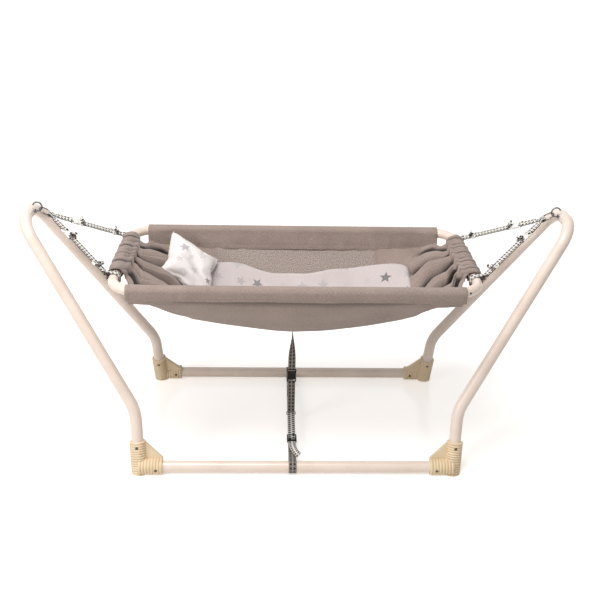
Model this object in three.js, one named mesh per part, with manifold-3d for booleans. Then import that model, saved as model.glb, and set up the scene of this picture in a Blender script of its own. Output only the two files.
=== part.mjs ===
// Hanging baby cradle: a cloth cradle on a tube frame, slung on webbing between two bent arches.
// Millimetres. +Z is up, X runs along the cradle and -Y is the front.
// The origin is on the floor under the middle of the stand.

import * as THREE from 'three';
import { mergeVertices } from 'three/addons/utils/BufferGeometryUtils.js';
import Module from 'manifold-3d';

const wasm = await Module();
wasm.setup();

// Clearances
const GAP = 0.35; // between pieces that touch
const LOOSE_GAP = 0.9; // between a ring and its hook
const CLOTH_GAP = 2.1; // between cloths that lie on each other

// Stand tube
const TUBE_RADIUS = 15;
const TUBE_WALL = 1.2;
const TUBE_SIDES = 10;

// Arch: each leg stands on a short steep length, then leans out to the arch's top
const FOOT_HALF_LENGTH = 400.6;
const FOOT_HALF_DEPTH = 242;
const LEG_START_HEIGHT = 9;
const LOWER_LEAN_OUT_SHARE = 0.05; // of the height
const LOWER_LEAN_IN_SHARE = 0.253; // of the height
const KNEE_HEIGHT = 158;
const KNEE_BEND_RADIUS = 120;
const APEX_HALF_SPAN = 678;
const APEX_HEIGHT = 608;
const APEX_CORNER_HALF_DEPTH = 66;
const APEX_BEND_RADIUS = 68;
const BEND_STEP = Math.PI / 18;

// Floor bars
const BAR_HEIGHT = 17.5;
const BAR_HALF_DEPTH = 245; // outside the leaning legs' axes

// Corner connector
const SOCKET_CREST_RADIUS = 20.8;
const SOCKET_ROOT_RADIUS = 19.4;
const SOCKET_SIDES = 10;
const LEG_SOCKET_LENGTH = 83;
const LEG_SOCKET_RIBS = 10;
const BAR_SOCKET_LENGTH = 61;
const BAR_SOCKET_RIBS = 5;
const SOCKET_WALL = 2;
const WEB_THICKNESS = 9;
const FLOOR_CUT_SIZE = 120;

// Connector screws
const SCREW_RADIUS = 2;
const SCREW_HEAD_RADIUS = 3.6;
const SCREW_HEAD_SEAT = 17.8; // from the tube's axis
const SCREW_HEAD_TOP = 20.2;
const SCREW_POINT = 9.5;
const SCREW_SIDES = 8;
const LEG_SCREW_REACH = 68; // along the leg from the floor
const BAR_SCREW_REACH = 45; // along the bar from the leg

// Hook
const HOOK_WIRE_RADIUS = 2;
const HOOK_BEND_RADIUS = 11.5;
const HOOK_SHANK_LIFT = 5; // above the arch tube's axis
const HOOK_SHANK_INSIDE = 6; // beyond the arch tube's axis
const HOOK_CENTRE_INSET = 24; // inward from the arch tube's axis
const HOOK_SWEEP = (250 * Math.PI) / 180;
const WIRE_SIDES = 8;
const WIRE_BEND_STEP = Math.PI / 7;
const NUT_RADIUS = 5.5;
const NUT_LENGTH = 4;
const NUT_SIDES = 6;

// Cradle frame
const FRAME_TUBE_RADIUS = 12.5;
const FRAME_TUBE_WALL = 1.2;
const FRAME_SIDES = 10;
const FRAME_SHIFT = -8; // the cradle hangs a little off the stand's middle
const FRAME_HALF_LENGTH = 442;
const FRAME_HALF_WIDTH = 212;
const FRAME_HEIGHT = 490;
const FRAME_CORNER_RADIUS = 68;
const FRAME_BEND_STEP = Math.PI / 10;
const FRAME_JOINT_HALF_SPAN = 350;
const SPIGOT_LENGTH = 22;

// Rings and webbing
const RING_RADIUS = 16;
const RING_WIRE_RADIUS = 1.75;
const RING_STEPS = 18;
const WEBBING_WIDTH = 20;
const WEBBING_HALF_THICKNESS = 1.2;
const BUNCHED_WIDTH = 10.5; // where a strap is gathered in its ring
const BUNCHED_CENTRE = 5.95; // from the ring's middle
const BUNCHED_LENGTH = 21;
const SPREAD_LENGTH = 40;
const STRAP_HALF_SPREAD = 134; // along the end tube
const RING_EYE_NEAR = 10.2;
const RING_EYE_FAR = 16;
const RING_EYE_RADIUS = 2.3;
const EYE_WALL = 1.1;
const BAR_EYE_RADIUS = 2.4;
const EYE_NECK = 7;
const LOOP_NECK = 31;
const SETTLE_LENGTH = 24; // where a strap turns square to the end tube
const SETTLE_BLEND = 12;
const EYE_OPENING = Math.PI / 3;
const EYE_STEPS = 5;
const LOOP_STEPS = 9;

// Strap buckle, lengths along the strap from the ring's centre
const FEMALE_START = 72;
const FEMALE_END = 93;
const MALE_END = 106;
const BUCKLE_WIDTH = 25.5;
const BUCKLE_THICKNESS = 7.6;
const BUCKLE_BAR = 2.8;
const BUCKLE_BAR_THICKNESS = 2.8;
const BUCKLE_WINDOW = 5;
const BUCKLE_WALL = 1.8;
const TONGUE_LENGTH = 9;

// Strap slider
const SLIDER_SHARE = 0.775; // of the strap's length, from its ring
const SLIDER_LENGTH = 11;
const SLIDER_WIDTH = 25;
const SLIDER_THICKNESS = 5.6;
const SLIDER_WALL = 1.6;
const SLIDER_OPENING_WIDTH = 20.8;

// Cloth
const SLEEVE_HALF_LENGTH = 403;
const SLEEVE_TOP = 14.8;
const SLEEVE_DROP = 22.5;
const SLEEVE_CORNER = 5;
const SLEEVE_SLACK = 7.9; // extra room towards the cradle's middle, for the end tubes' bends
const SLEEVE_SIDES = 12;
const GATHER_HALF_LENGTH = 116;
const GATHER_COUNT = 9;
const GATHER_CREST_RADIUS = 21;
const GATHER_ROOT_RADIUS = 16;
const GATHER_SIDES = 12;
const BED_THICKNESS = 2;
const BED_HALF_LENGTH = 418;
const BED_HALF_WIDTH = 209;
const BED_CORNER_RADIUS = 70;
const BED_END_DROP = 8; // below the frame's axis, at the ends
const BELLY_DEPTH = 195; // below the frame's axis, in the middle
const BELLY_END_MARGIN = 2; // past the bed's ends, where the belly would close
const BELLY_FALL_SHARE = 0.4; // of the depth, lost towards the ends
const BELLY_FALL_POWER = 1.4;
const BELLY_END_POWER = 8;
const BED_LENGTH_STEPS = 24;
const BED_WIDTH_STEPS = 16;
const FOLD_COUNT = 4;
const FOLD_DEPTH = 11;
const FOLD_START = 322;
const FOLD_PEAK = 378;

// Mattress pad and pillow
const PAD_THICKNESS = 12;
const PAD_LEFT = -285;
const PAD_RIGHT = 312;
const PAD_HALF_WIDTH = 150;
const PAD_CORNER_POWER = 10;
const PAD_END_SHARE = 0.8; // of the width, at the pad's very ends
const PAD_LENGTH_STEPS = 14;
const PAD_WIDTH_STEPS = 10;
const PILLOW_CROWN = 22;
const PILLOW_EDGE = 2.5;
const PILLOW_STEPS = 9;
const PILLOW_REAR_LEFT = new THREE.Vector3(-335, 166, 8); // from the cradle frame's middle
const PILLOW_FRONT_LEFT = new THREE.Vector3(-354, 25, -44);
const PILLOW_FRONT_RIGHT = new THREE.Vector3(-229, 20, -142);
const PILLOW_REAR_RIGHT = new THREE.Vector3(-204, 148, -63);

// Tether from the belly to the cross strap
const TETHER_X = -11;
const TETHER_TOP_SLOPE = 1.3; // its end is cut to a blunt point, so that it can tip under the cloth
const TETHER_BUCKLE_TOP = 166;
const TETHER_BUCKLE_MIDDLE = 146;
const TETHER_BUCKLE_BOTTOM = 126;
const TETHER_THICKNESS = 1.8;
const TETHER_TWIST = Math.PI / 2;
const TETHER_TWIST_STEPS = 6;
const TETHER_BUCKLE_WIDTH = 25;
const TETHER_BUCKLE_THICKNESS = 8;
const TETHER_TAIL_LENGTH = 52;
const TETHER_TAIL_OFFSET = 6;
const TAIL_THICKNESS = 1.4;
const RING_BAR = 1.8;
const TETHER_RING_TOP = 31;
const TETHER_RING_BOTTOM = 18.2;
const TETHER_RING_WIDTH = 26;

// Cross strap round the two floor bars
const CROSS_THICKNESS = 1.4;
const CROSS_LIFT = 6.5; // of its middle, above the bars' axes
const CROSS_EYE_REACH = 62;
const CROSS_EYE_STEPS = 10;
const LOCK_PLACE = -121;
const LOCK_LENGTH = 30;
const LOCK_WIDTH = 26;
const LOCK_THICKNESS = 7.6;
const LOCK_WALL = 1.6;
const LOCK_LIFT = 0.7;
const TAIL_START = -134;
const TAIL_END = -224;
const TAIL_RISE = 17;
const TAIL_SWING = 17;
const TAIL_STEPS = 6;

// Values worked out from the ones above
const BED_EDGE_DROP = SLEEVE_DROP + GAP;
const BELLY_HALF_LENGTH = BED_HALF_LENGTH + BELLY_END_MARGIN;
const FRONT = -1;
const REAR = 1;
const LEFT = -1;
const RIGHT = 1;
const SIDES = { left: LEFT, right: RIGHT };
const DEPTHS = { front: FRONT, rear: REAR };
const FULL_TURN = 2 * Math.PI;
const BORE_RADIUS = clearRadius(TUBE_RADIUS + GAP, SOCKET_SIDES);
const BAR_ROOT_LENGTH = FOOT_HALF_LENGTH + LOWER_LEAN_OUT_SHARE * BAR_HEIGHT;
const BAR_BORE_START = BORE_RADIUS + SOCKET_WALL;
const BAR_HALF_LENGTH = BAR_ROOT_LENGTH - BAR_BORE_START - GAP;
const HOOK_CENTRE_X = APEX_HALF_SPAN - HOOK_CENTRE_INSET;
const HOOK_SHANK_HEIGHT = APEX_HEIGHT + HOOK_SHANK_LIFT;
const HOOK_CENTRE_HEIGHT = HOOK_SHANK_HEIGHT + HOOK_BEND_RADIUS;
const FRAME_BORE_RADIUS = FRAME_TUBE_RADIUS - FRAME_TUBE_WALL;
const SPIGOT_RADIUS = FRAME_BORE_RADIUS * Math.cos(Math.PI / FRAME_SIDES) - GAP;
const LOOP_SIDES = (LOOP_STEPS * FULL_TURN) / (FULL_TURN - 2 * EYE_OPENING);
const LOOP_RADIUS = clearRadius(FRAME_TUBE_RADIUS + GAP, LOOP_SIDES);
const CROSS_EYE_SIDES = (CROSS_EYE_STEPS * FULL_TURN) / (FULL_TURN - 2 * EYE_OPENING);
const CROSS_HOLE_RADIUS = clearRadius(TUBE_RADIUS + GAP, CROSS_EYE_SIDES);
const CROSS_TIP = BAR_HALF_DEPTH - CROSS_EYE_REACH + CROSS_THICKNESS;
const TETHER_TOP = FRAME_HEIGHT - BELLY_DEPTH - BED_THICKNESS - GAP;

// Finishes
const tubePaint = finish(0xe9ddd2, 0.35, 0.1);
const cornerPlastic = finish(0xe9dab6, 0.5, 0);
const screwSteel = finish(0x6b6459, 0.35, 0.9);
const chrome = finish(0xb9bbbd, 0.15, 1);
const whitePlastic = finish(0xf1efec, 0.4, 0);
const blackPlastic = finish(0x1b1a1a, 0.4, 0);
const patternWebbing = finish(0x8f8d8a, 0.85, 0);
const darkWebbing = finish(0x67625f, 0.85, 0);
const taupeCloth = finish(0x95867e, 0.9, 0);
const starCloth = finish(0xe6e4e4, 0.9, 0);

function finish(color, roughness, metalness) {
  return new THREE.MeshStandardMaterial({ color, roughness, metalness });
}

// The corner radius of a polygon whose flats clear the given radius
function clearRadius(radius, sides) {
  return radius / Math.cos(Math.PI / sides);
}

function point(x, y, z) {
  return new THREE.Vector3(x, y, z);
}

// Solids for joining and cutting

function toSolid(geometry) {
  const bare = geometry.clone();
  bare.deleteAttribute('normal');
  bare.deleteAttribute('uv');
  const merged = mergeVertices(bare);
  const corners = merged.index.array;
  const kept = [];
  for (let i = 0; i < corners.length; i += 3) {
    const [a, b, c] = [corners[i], corners[i + 1], corners[i + 2]];
    if (a !== b && b !== c && c !== a) kept.push(a, b, c);
  }
  const mesh = new wasm.Mesh({
    numProp: 3,
    vertProperties: new Float32Array(merged.attributes.position.array),
    triVerts: new Uint32Array(kept),
  });
  return new wasm.Manifold(mesh);
}

function toGeometry(solid) {
  const mesh = solid.getMesh();
  const geometry = new THREE.BufferGeometry();
  geometry.setAttribute('position', new THREE.BufferAttribute(mesh.vertProperties, 3));
  geometry.setIndex(new THREE.BufferAttribute(mesh.triVerts, 1));
  geometry.computeVertexNormals();
  return geometry;
}

function joined(first, ...others) {
  return toGeometry(others.reduce((sum, other) => sum.add(toSolid(other)), toSolid(first)));
}

function cut(body, ...tools) {
  return toGeometry(tools.reduce((rest, tool) => rest.subtract(toSolid(tool)), toSolid(body)));
}

// Paths, sections and placing

// A path that is sampled only at its own stations
class StationPath extends THREE.Curve {
  constructor(stations) {
    super();
    this.stations = stations;
  }

  getUtoTmapping(u) {
    return u;
  }

  stationAt(t) {
    return this.stations[Math.round(t * (this.stations.length - 1))];
  }

  getPoint(t, target = new THREE.Vector3()) {
    return target.copy(this.stationAt(t).place);
  }

  getTangent(t, target = new THREE.Vector3()) {
    return target.copy(this.stationAt(t).heading);
  }
}

// Straight lengths between the corners, with a round bend at each inner corner
function bentPath(corners, radii, bendStep) {
  const last = corners.length - 1;
  const headings = [];
  for (let i = 0; i < last; i += 1) headings.push(corners[i + 1].clone().sub(corners[i]).normalize());
  const stations = [{ place: corners[0], heading: headings[0] }];
  for (let i = 1; i < last; i += 1) {
    const [before, after] = [headings[i - 1], headings[i]];
    const turn = before.angleTo(after);
    const axis = before.clone().cross(after).normalize();
    const setback = radii[i - 1] * Math.tan(turn / 2);
    const entry = corners[i].clone().addScaledVector(before, -setback);
    const inward = axis.clone().cross(before);
    const centre = entry.clone().addScaledVector(inward, radii[i - 1]);
    const steps = Math.ceil(turn / bendStep);
    for (let k = 0; k <= steps; k += 1) {
      const angle = (turn * k) / steps;
      const arm = entry.clone().sub(centre).applyAxisAngle(axis, angle);
      const heading = before.clone().applyAxisAngle(axis, angle);
      stations.push({ place: centre.clone().add(arm), heading });
    }
  }
  stations.push({ place: corners[last], heading: headings[last - 1] });
  return new StationPath(stations);
}

function circlePoints(radius, sides) {
  const points = [];
  for (let i = 0; i < sides; i += 1) {
    const angle = (FULL_TURN * i) / sides;
    points.push(new THREE.Vector2(radius * Math.cos(angle), radius * Math.sin(angle)));
  }
  return points;
}

function discSection(radius, sides) {
  return new THREE.Shape(circlePoints(radius, sides));
}

function tubeSection(radius, wall, sides) {
  const shape = discSection(radius, sides);
  shape.holes.push(new THREE.Path(circlePoints(radius - wall, sides)));
  return shape;
}

function sweep(section, path) {
  const steps = path.stations.length - 1;
  return new THREE.ExtrudeGeometry(section, { steps, bevelEnabled: false, extrudePath: path });
}

// A plate of the given outline, as thick as stated and centred on its own plane
function plate(shape, thickness) {
  const geometry = new THREE.ExtrudeGeometry(shape, { depth: thickness, bevelEnabled: false });
  return geometry.translate(0, 0, -thickness / 2);
}

function block(length, width, height) {
  return new THREE.BoxGeometry(length, width, height);
}

// A turned solid with +Z as its axis, from (radius, height) pairs
function turned(profile, sides) {
  const points = profile.map(([radius, height]) => new THREE.Vector2(radius, height));
  return new THREE.LatheGeometry(points, sides).rotateX(Math.PI / 2);
}

function rod(radius, start, end, sides) {
  return turned([[0, start], [radius, start], [radius, end], [0, end]], sides);
}

// Moves a solid from its own axes to the given origin and directions
function placed(geometry, origin, xAxis, yAxis, zAxis) {
  const frame = new THREE.Matrix4().makeBasis(xAxis, yAxis, zAxis).setPosition(origin);
  return geometry.applyMatrix4(frame);
}

function aimed(geometry, origin, direction) {
  const turn = new THREE.Quaternion().setFromUnitVectors(point(0, 0, 1), direction);
  return geometry.applyQuaternion(turn).translate(origin.x, origin.y, origin.z);
}

// The object's group, filled piece by piece
const cradleOnStand = new THREE.Group();

function addPiece(name, geometry, material) {
  const piece = new THREE.Mesh(geometry, material);
  piece.name = name;
  cradleOnStand.add(piece);
}

// Stand

function legPoint(side, depth, height) {
  const x = side * (FOOT_HALF_LENGTH + LOWER_LEAN_OUT_SHARE * height);
  const y = depth * (FOOT_HALF_DEPTH - LOWER_LEAN_IN_SHARE * height);
  return point(x, y, height);
}

function legDirection(side, depth) {
  return point(side * LOWER_LEAN_OUT_SHARE, -depth * LOWER_LEAN_IN_SHARE, 1).normalize();
}

// Every connector's screws face the front
function legScrewDirection(depth) {
  return point(0, -1, -depth * LOWER_LEAN_IN_SHARE).normalize();
}

function legScrewOrigin(side, depth) {
  return legPoint(side, depth, 0).addScaledVector(legDirection(side, depth), LEG_SCREW_REACH);
}

function barScrewOrigin(side, depth) {
  return point(side * (BAR_ROOT_LENGTH - BAR_SCREW_REACH), depth * BAR_HALF_DEPTH, BAR_HEIGHT);
}

function screwHole(origin, direction) {
  const radius = clearRadius(SCREW_RADIUS + GAP, SCREW_SIDES);
  return aimed(rod(radius, SCREW_POINT - GAP, SOCKET_CREST_RADIUS + GAP, SCREW_SIDES), origin, direction);
}

function arch(side) {
  const corners = [
    legPoint(side, FRONT, LEG_START_HEIGHT),
    legPoint(side, FRONT, KNEE_HEIGHT),
    point(side * APEX_HALF_SPAN, FRONT * APEX_CORNER_HALF_DEPTH, APEX_HEIGHT),
    point(side * APEX_HALF_SPAN, REAR * APEX_CORNER_HALF_DEPTH, APEX_HEIGHT),
    legPoint(side, REAR, KNEE_HEIGHT),
    legPoint(side, REAR, LEG_START_HEIGHT),
  ];
  const radii = [KNEE_BEND_RADIUS, APEX_BEND_RADIUS, APEX_BEND_RADIUS, KNEE_BEND_RADIUS];
  const tube = sweep(tubeSection(TUBE_RADIUS, TUBE_WALL, TUBE_SIDES), bentPath(corners, radii, BEND_STEP));
  const hookHole = aimed(
    rod(clearRadius(HOOK_WIRE_RADIUS + GAP, WIRE_SIDES), 0, TUBE_RADIUS + GAP, WIRE_SIDES),
    point(side * APEX_HALF_SPAN, 0, HOOK_SHANK_HEIGHT),
    point(-side, 0, 0),
  );
  const screwHoles = [FRONT, REAR].map((depth) =>
    screwHole(legScrewOrigin(side, depth), legScrewDirection(depth)),
  );
  return cut(tube, hookHole, ...screwHoles);
}

function floorBar(depth) {
  const start = point(-BAR_HALF_LENGTH, depth * BAR_HALF_DEPTH, BAR_HEIGHT);
  const end = point(BAR_HALF_LENGTH, depth * BAR_HALF_DEPTH, BAR_HEIGHT);
  const tube = sweep(tubeSection(TUBE_RADIUS, TUBE_WALL, TUBE_SIDES), bentPath([start, end], [], BEND_STEP));
  const holes = [LEFT, RIGHT].map((side) => screwHole(barScrewOrigin(side, depth), point(0, -1, 0)));
  return cut(tube, ...holes);
}

// A socket's outside: a rod that is ribbed from start to end
function ribbedRod(start, end, ribs) {
  const profile = [[0, start]];
  const pitch = (end - start) / ribs;
  for (let i = 0; i < ribs; i += 1) {
    profile.push([SOCKET_ROOT_RADIUS, start + i * pitch]);
    profile.push([SOCKET_CREST_RADIUS, start + (i + 1 / 2) * pitch]);
  }
  profile.push([SOCKET_ROOT_RADIUS, end], [0, end]);
  return turned(profile, SOCKET_SIDES);
}

function cornerConnector(side, depth) {
  const foot = legPoint(side, depth, 0);
  const barRoot = point(side * BAR_ROOT_LENGTH, depth * BAR_HALF_DEPTH, BAR_HEIGHT);
  const inward = point(-side, 0, 0);
  const upLeg = legDirection(side, depth);
  const upWeb = point(0, -depth * LOWER_LEAN_IN_SHARE, 1).normalize();
  const outOfWeb = inward.clone().cross(upWeb);
  const webShape = new THREE.Shape([
    new THREE.Vector2(0, BAR_HEIGHT),
    new THREE.Vector2(BAR_SOCKET_LENGTH, BAR_HEIGHT),
    new THREE.Vector2(BAR_SOCKET_LENGTH, BAR_HEIGHT + SOCKET_CREST_RADIUS),
    new THREE.Vector2(SOCKET_ROOT_RADIUS - SOCKET_WALL, LEG_SOCKET_LENGTH - SOCKET_WALL),
    new THREE.Vector2(0, LEG_SOCKET_LENGTH - SOCKET_WALL),
  ]);
  const legRibs = ribbedRod(-SOCKET_CREST_RADIUS / 2, LEG_SOCKET_LENGTH, LEG_SOCKET_RIBS);
  const legSocket = aimed(legRibs, foot, upLeg);
  const barSocket = aimed(ribbedRod(SOCKET_WALL, BAR_SOCKET_LENGTH, BAR_SOCKET_RIBS), barRoot, inward);
  const webOrigin = point(barRoot.x, foot.y, 0);
  const web = placed(plate(webShape, WEB_THICKNESS), webOrigin, inward, upWeb, outOfWeb);
  const floorCut = block(FLOOR_CUT_SIZE, FLOOR_CUT_SIZE, FLOOR_CUT_SIZE);
  floorCut.translate(foot.x, foot.y, -FLOOR_CUT_SIZE / 2);
  const legBore = aimed(
    rod(BORE_RADIUS, LEG_START_HEIGHT - GAP, LEG_SOCKET_LENGTH + GAP, SOCKET_SIDES),
    foot,
    upLeg,
  );
  const barBore = aimed(
    rod(BORE_RADIUS, BAR_BORE_START, BAR_SOCKET_LENGTH + GAP, SOCKET_SIDES),
    barRoot,
    inward,
  );
  const headRadius = clearRadius(SCREW_HEAD_RADIUS + GAP, SCREW_SIDES);
  const headSeat = () => rod(headRadius, SCREW_HEAD_SEAT - GAP, SOCKET_CREST_RADIUS + GAP, SCREW_SIDES);
  const legScrew = legScrewOrigin(side, depth);
  const barScrew = barScrewOrigin(side, depth);
  return cut(
    joined(legSocket, barSocket, web),
    floorCut,
    legBore,
    barBore,
    screwHole(legScrew, legScrewDirection(depth)),
    screwHole(barScrew, point(0, -1, 0)),
    aimed(headSeat(), legScrew, legScrewDirection(depth)),
    aimed(headSeat(), barScrew, point(0, -1, 0)),
  );
}

function connectorScrew(origin, direction) {
  const profile = [
    [0, SCREW_POINT],
    [SCREW_RADIUS, SCREW_POINT],
    [SCREW_RADIUS, SCREW_HEAD_SEAT],
    [SCREW_HEAD_RADIUS, SCREW_HEAD_SEAT],
    [SCREW_HEAD_RADIUS, SCREW_HEAD_TOP],
    [0, SCREW_HEAD_TOP],
  ];
  return aimed(turned(profile, SCREW_SIDES), origin, direction);
}

function hookPath(side) {
  const start = point(side * (APEX_HALF_SPAN + HOOK_SHANK_INSIDE), 0, HOOK_SHANK_HEIGHT);
  const centre = point(side * HOOK_CENTRE_X, 0, HOOK_CENTRE_HEIGHT);
  const stations = [{ place: start, heading: point(-side, 0, 0) }];
  const steps = Math.ceil(HOOK_SWEEP / WIRE_BEND_STEP);
  for (let i = 0; i <= steps; i += 1) {
    const angle = (HOOK_SWEEP * i) / steps;
    const arm = point(-side * Math.sin(angle), 0, -Math.cos(angle)).multiplyScalar(HOOK_BEND_RADIUS);
    const heading = point(-side * Math.cos(angle), 0, Math.sin(angle));
    stations.push({ place: centre.clone().add(arm), heading });
  }
  return new StationPath(stations);
}

function hook(side) {
  return sweep(discSection(HOOK_WIRE_RADIUS, WIRE_SIDES), hookPath(side));
}

function hookNut(side) {
  const shift = HOOK_SHANK_LIFT;
  const face = Math.sqrt(TUBE_RADIUS * TUBE_RADIUS - shift * shift) + SOCKET_WALL + GAP;
  const hole = clearRadius(HOOK_WIRE_RADIUS + GAP, NUT_SIDES);
  const profile = [
    [hole, face],
    [NUT_RADIUS, face],
    [NUT_RADIUS, face + NUT_LENGTH],
    [hole, face + NUT_LENGTH],
    [hole, face],
  ];
  const origin = point(side * APEX_HALF_SPAN, 0, HOOK_SHANK_HEIGHT);
  return aimed(turned(profile, NUT_SIDES), origin, point(-side, 0, 0));
}

// Cradle frame

function endTube(side) {
  const joint = FRAME_SHIFT + side * FRAME_JOINT_HALF_SPAN;
  const end = FRAME_SHIFT + side * FRAME_HALF_LENGTH;
  const corners = [
    point(joint, FRONT * FRAME_HALF_WIDTH, FRAME_HEIGHT),
    point(end, FRONT * FRAME_HALF_WIDTH, FRAME_HEIGHT),
    point(end, REAR * FRAME_HALF_WIDTH, FRAME_HEIGHT),
    point(joint, REAR * FRAME_HALF_WIDTH, FRAME_HEIGHT),
  ];
  const path = bentPath(corners, [FRAME_CORNER_RADIUS, FRAME_CORNER_RADIUS], FRAME_BEND_STEP);
  return sweep(tubeSection(FRAME_TUBE_RADIUS, FRAME_TUBE_WALL, FRAME_SIDES), path);
}

// A straight tube with a narrower spigot at each end that plugs into the end tubes
function sideRail(depth) {
  const half = FRAME_JOINT_HALF_SPAN - GAP;
  const tip = half + SPIGOT_LENGTH;
  const bore = SPIGOT_RADIUS - FRAME_TUBE_WALL;
  const profile = [
    [bore, -tip],
    [SPIGOT_RADIUS, -tip],
    [SPIGOT_RADIUS, -half],
    [FRAME_TUBE_RADIUS, -half],
    [FRAME_TUBE_RADIUS, half],
    [SPIGOT_RADIUS, half],
    [SPIGOT_RADIUS, tip],
    [bore, tip],
    [bore, -tip],
  ];
  const origin = point(FRAME_SHIFT, depth * FRAME_HALF_WIDTH, FRAME_HEIGHT);
  return aimed(turned(profile, FRAME_SIDES), origin, point(1, 0, 0));
}

// Straps: each runs from its ring to the end tube

// The line of one strap, its ring's centre and its directions
function strapLine(side, depth) {
  const hookCentre = point(side * HOOK_CENTRE_X, 0, HOOK_CENTRE_HEIGHT);
  const tubePoint = point(
    FRAME_SHIFT + side * FRAME_HALF_LENGTH,
    depth * STRAP_HALF_SPREAD,
    FRAME_HEIGHT,
  );
  const tubeMiddle = point(tubePoint.x, 0, tubePoint.z);
  const pull = tubeMiddle.clone().sub(hookCentre).normalize();
  const ringReach = HOOK_BEND_RADIUS - HOOK_WIRE_RADIUS - RING_WIRE_RADIUS - LOOSE_GAP + RING_RADIUS;
  const ringCentre = hookCentre.clone().addScaledVector(pull, ringReach);
  const bunchedY = depth * BUNCHED_CENTRE;
  const bunchedEnd = ringCentre.clone().addScaledVector(pull, BUNCHED_LENGTH);
  bunchedEnd.y = bunchedY;
  const settled = tubePoint.clone().addScaledVector(pull, -SETTLE_LENGTH);
  const run = settled.clone().sub(bunchedEnd);
  const along = run.clone().normalize();
  const across = point(0, 1, 0);
  const normal = pull.clone().cross(across);
  if (normal.z < 0) normal.negate();
  const tubeWise = normal.clone().cross(pull);
  const widthWise = normal.clone().cross(along);
  const settleStart = BUNCHED_LENGTH + run.length();
  const length = settleStart + SETTLE_LENGTH;
  const ways = { pull, along, normal, tubeWise, widthWise };
  return { ringCentre, bunchedY, bunchedEnd, settled, settleStart, length, ...ways };
}

// A point on the strap's middle line
function strapPoint(line, distance) {
  if (distance > line.settleStart) {
    return line.settled.clone().addScaledVector(line.pull, distance - line.settleStart);
  }
  if (distance > BUNCHED_LENGTH) {
    return line.bunchedEnd.clone().addScaledVector(line.along, distance - BUNCHED_LENGTH);
  }
  const place = line.ringCentre.clone().addScaledVector(line.pull, distance);
  place.y = line.bunchedY;
  return place;
}

// The strap's width as a vector: bunched in the ring, square to its run, and along the tube in its loop
function strapWidth(line, distance) {
  const bunched = line.tubeWise.clone().multiplyScalar(BUNCHED_WIDTH);
  const square = line.widthWise.clone().multiplyScalar(WEBBING_WIDTH);
  const looped = line.tubeWise.clone().multiplyScalar(WEBBING_WIDTH);
  const spread = THREE.MathUtils.smoothstep(distance, BUNCHED_LENGTH, SPREAD_LENGTH);
  const settle = THREE.MathUtils.clamp((distance - line.settleStart) / SETTLE_BLEND, 0, 1);
  return bunched.lerp(square, spread).lerp(looped, settle);
}

// Bends a flat strap outline, (distance, height) extruded one unit, onto the strap's line
function alongStrap(line, outline) {
  const geometry = new THREE.ExtrudeGeometry(outline, { depth: 1, bevelEnabled: false });
  const position = geometry.attributes.position;
  for (let i = 0; i < position.count; i += 1) {
    const [distance, height] = [position.getX(i), position.getY(i)];
    const place = strapPoint(line, distance).addScaledVector(line.normal, height);
    place.addScaledVector(strapWidth(line, distance), 1 / 2 - position.getZ(i));
    position.setXYZ(i, place.x, place.y, place.z);
  }
  return geometry;
}

// An arc of points round a strap's eye, open towards the strap
function eyeArc(centre, radius, facing, steps) {
  const points = [];
  for (let i = 0; i <= steps; i += 1) {
    const angle = EYE_OPENING + ((FULL_TURN - 2 * EYE_OPENING) * i) / steps;
    const x = centre + facing * radius * Math.cos(angle);
    points.push(new THREE.Vector2(x, facing * radius * Math.sin(angle)));
  }
  return points;
}

function strapOutline(outer, holes) {
  const shape = new THREE.Shape(outer);
  holes.forEach((hole) => shape.holes.push(new THREE.Path(hole)));
  return shape;
}

function bandEdge(distances, height) {
  return distances.map((distance) => new THREE.Vector2(distance, height));
}

// Upper strap: a long eye in the ring, then a band to an eye on the buckle's bar
function upperStrap(line) {
  const outerRadius = RING_EYE_RADIUS + EYE_WALL;
  const barCentre = FEMALE_START + BUCKLE_BAR / 2;
  const stops = [RING_EYE_FAR + EYE_NECK, (BUNCHED_LENGTH + SPREAD_LENGTH) / 2, SPREAD_LENGTH];
  stops.push(barCentre - EYE_NECK);
  const backStops = [...stops].reverse();
  const ringEnd = (radius) => [
    new THREE.Vector2(RING_EYE_FAR, radius),
    ...eyeArc(RING_EYE_NEAR, radius, 1, EYE_STEPS).filter((p) => p.x < RING_EYE_NEAR),
    new THREE.Vector2(RING_EYE_FAR, -radius),
  ];
  const barArc = (radius) => eyeArc(barCentre, radius, -1, EYE_STEPS);
  const outer = [
    ...ringEnd(outerRadius),
    ...bandEdge(stops, -WEBBING_HALF_THICKNESS),
    ...barArc(BAR_EYE_RADIUS + EYE_WALL),
    ...bandEdge(backStops, WEBBING_HALF_THICKNESS),
  ];
  const ringHole = [...ringEnd(RING_EYE_RADIUS), new THREE.Vector2(RING_EYE_FAR + RING_EYE_RADIUS, 0)];
  const barHole = [...barArc(BAR_EYE_RADIUS), new THREE.Vector2(barCentre - BAR_EYE_RADIUS * 2, 0)];
  return alongStrap(line, strapOutline(outer, [ringHole, barHole]));
}

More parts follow.
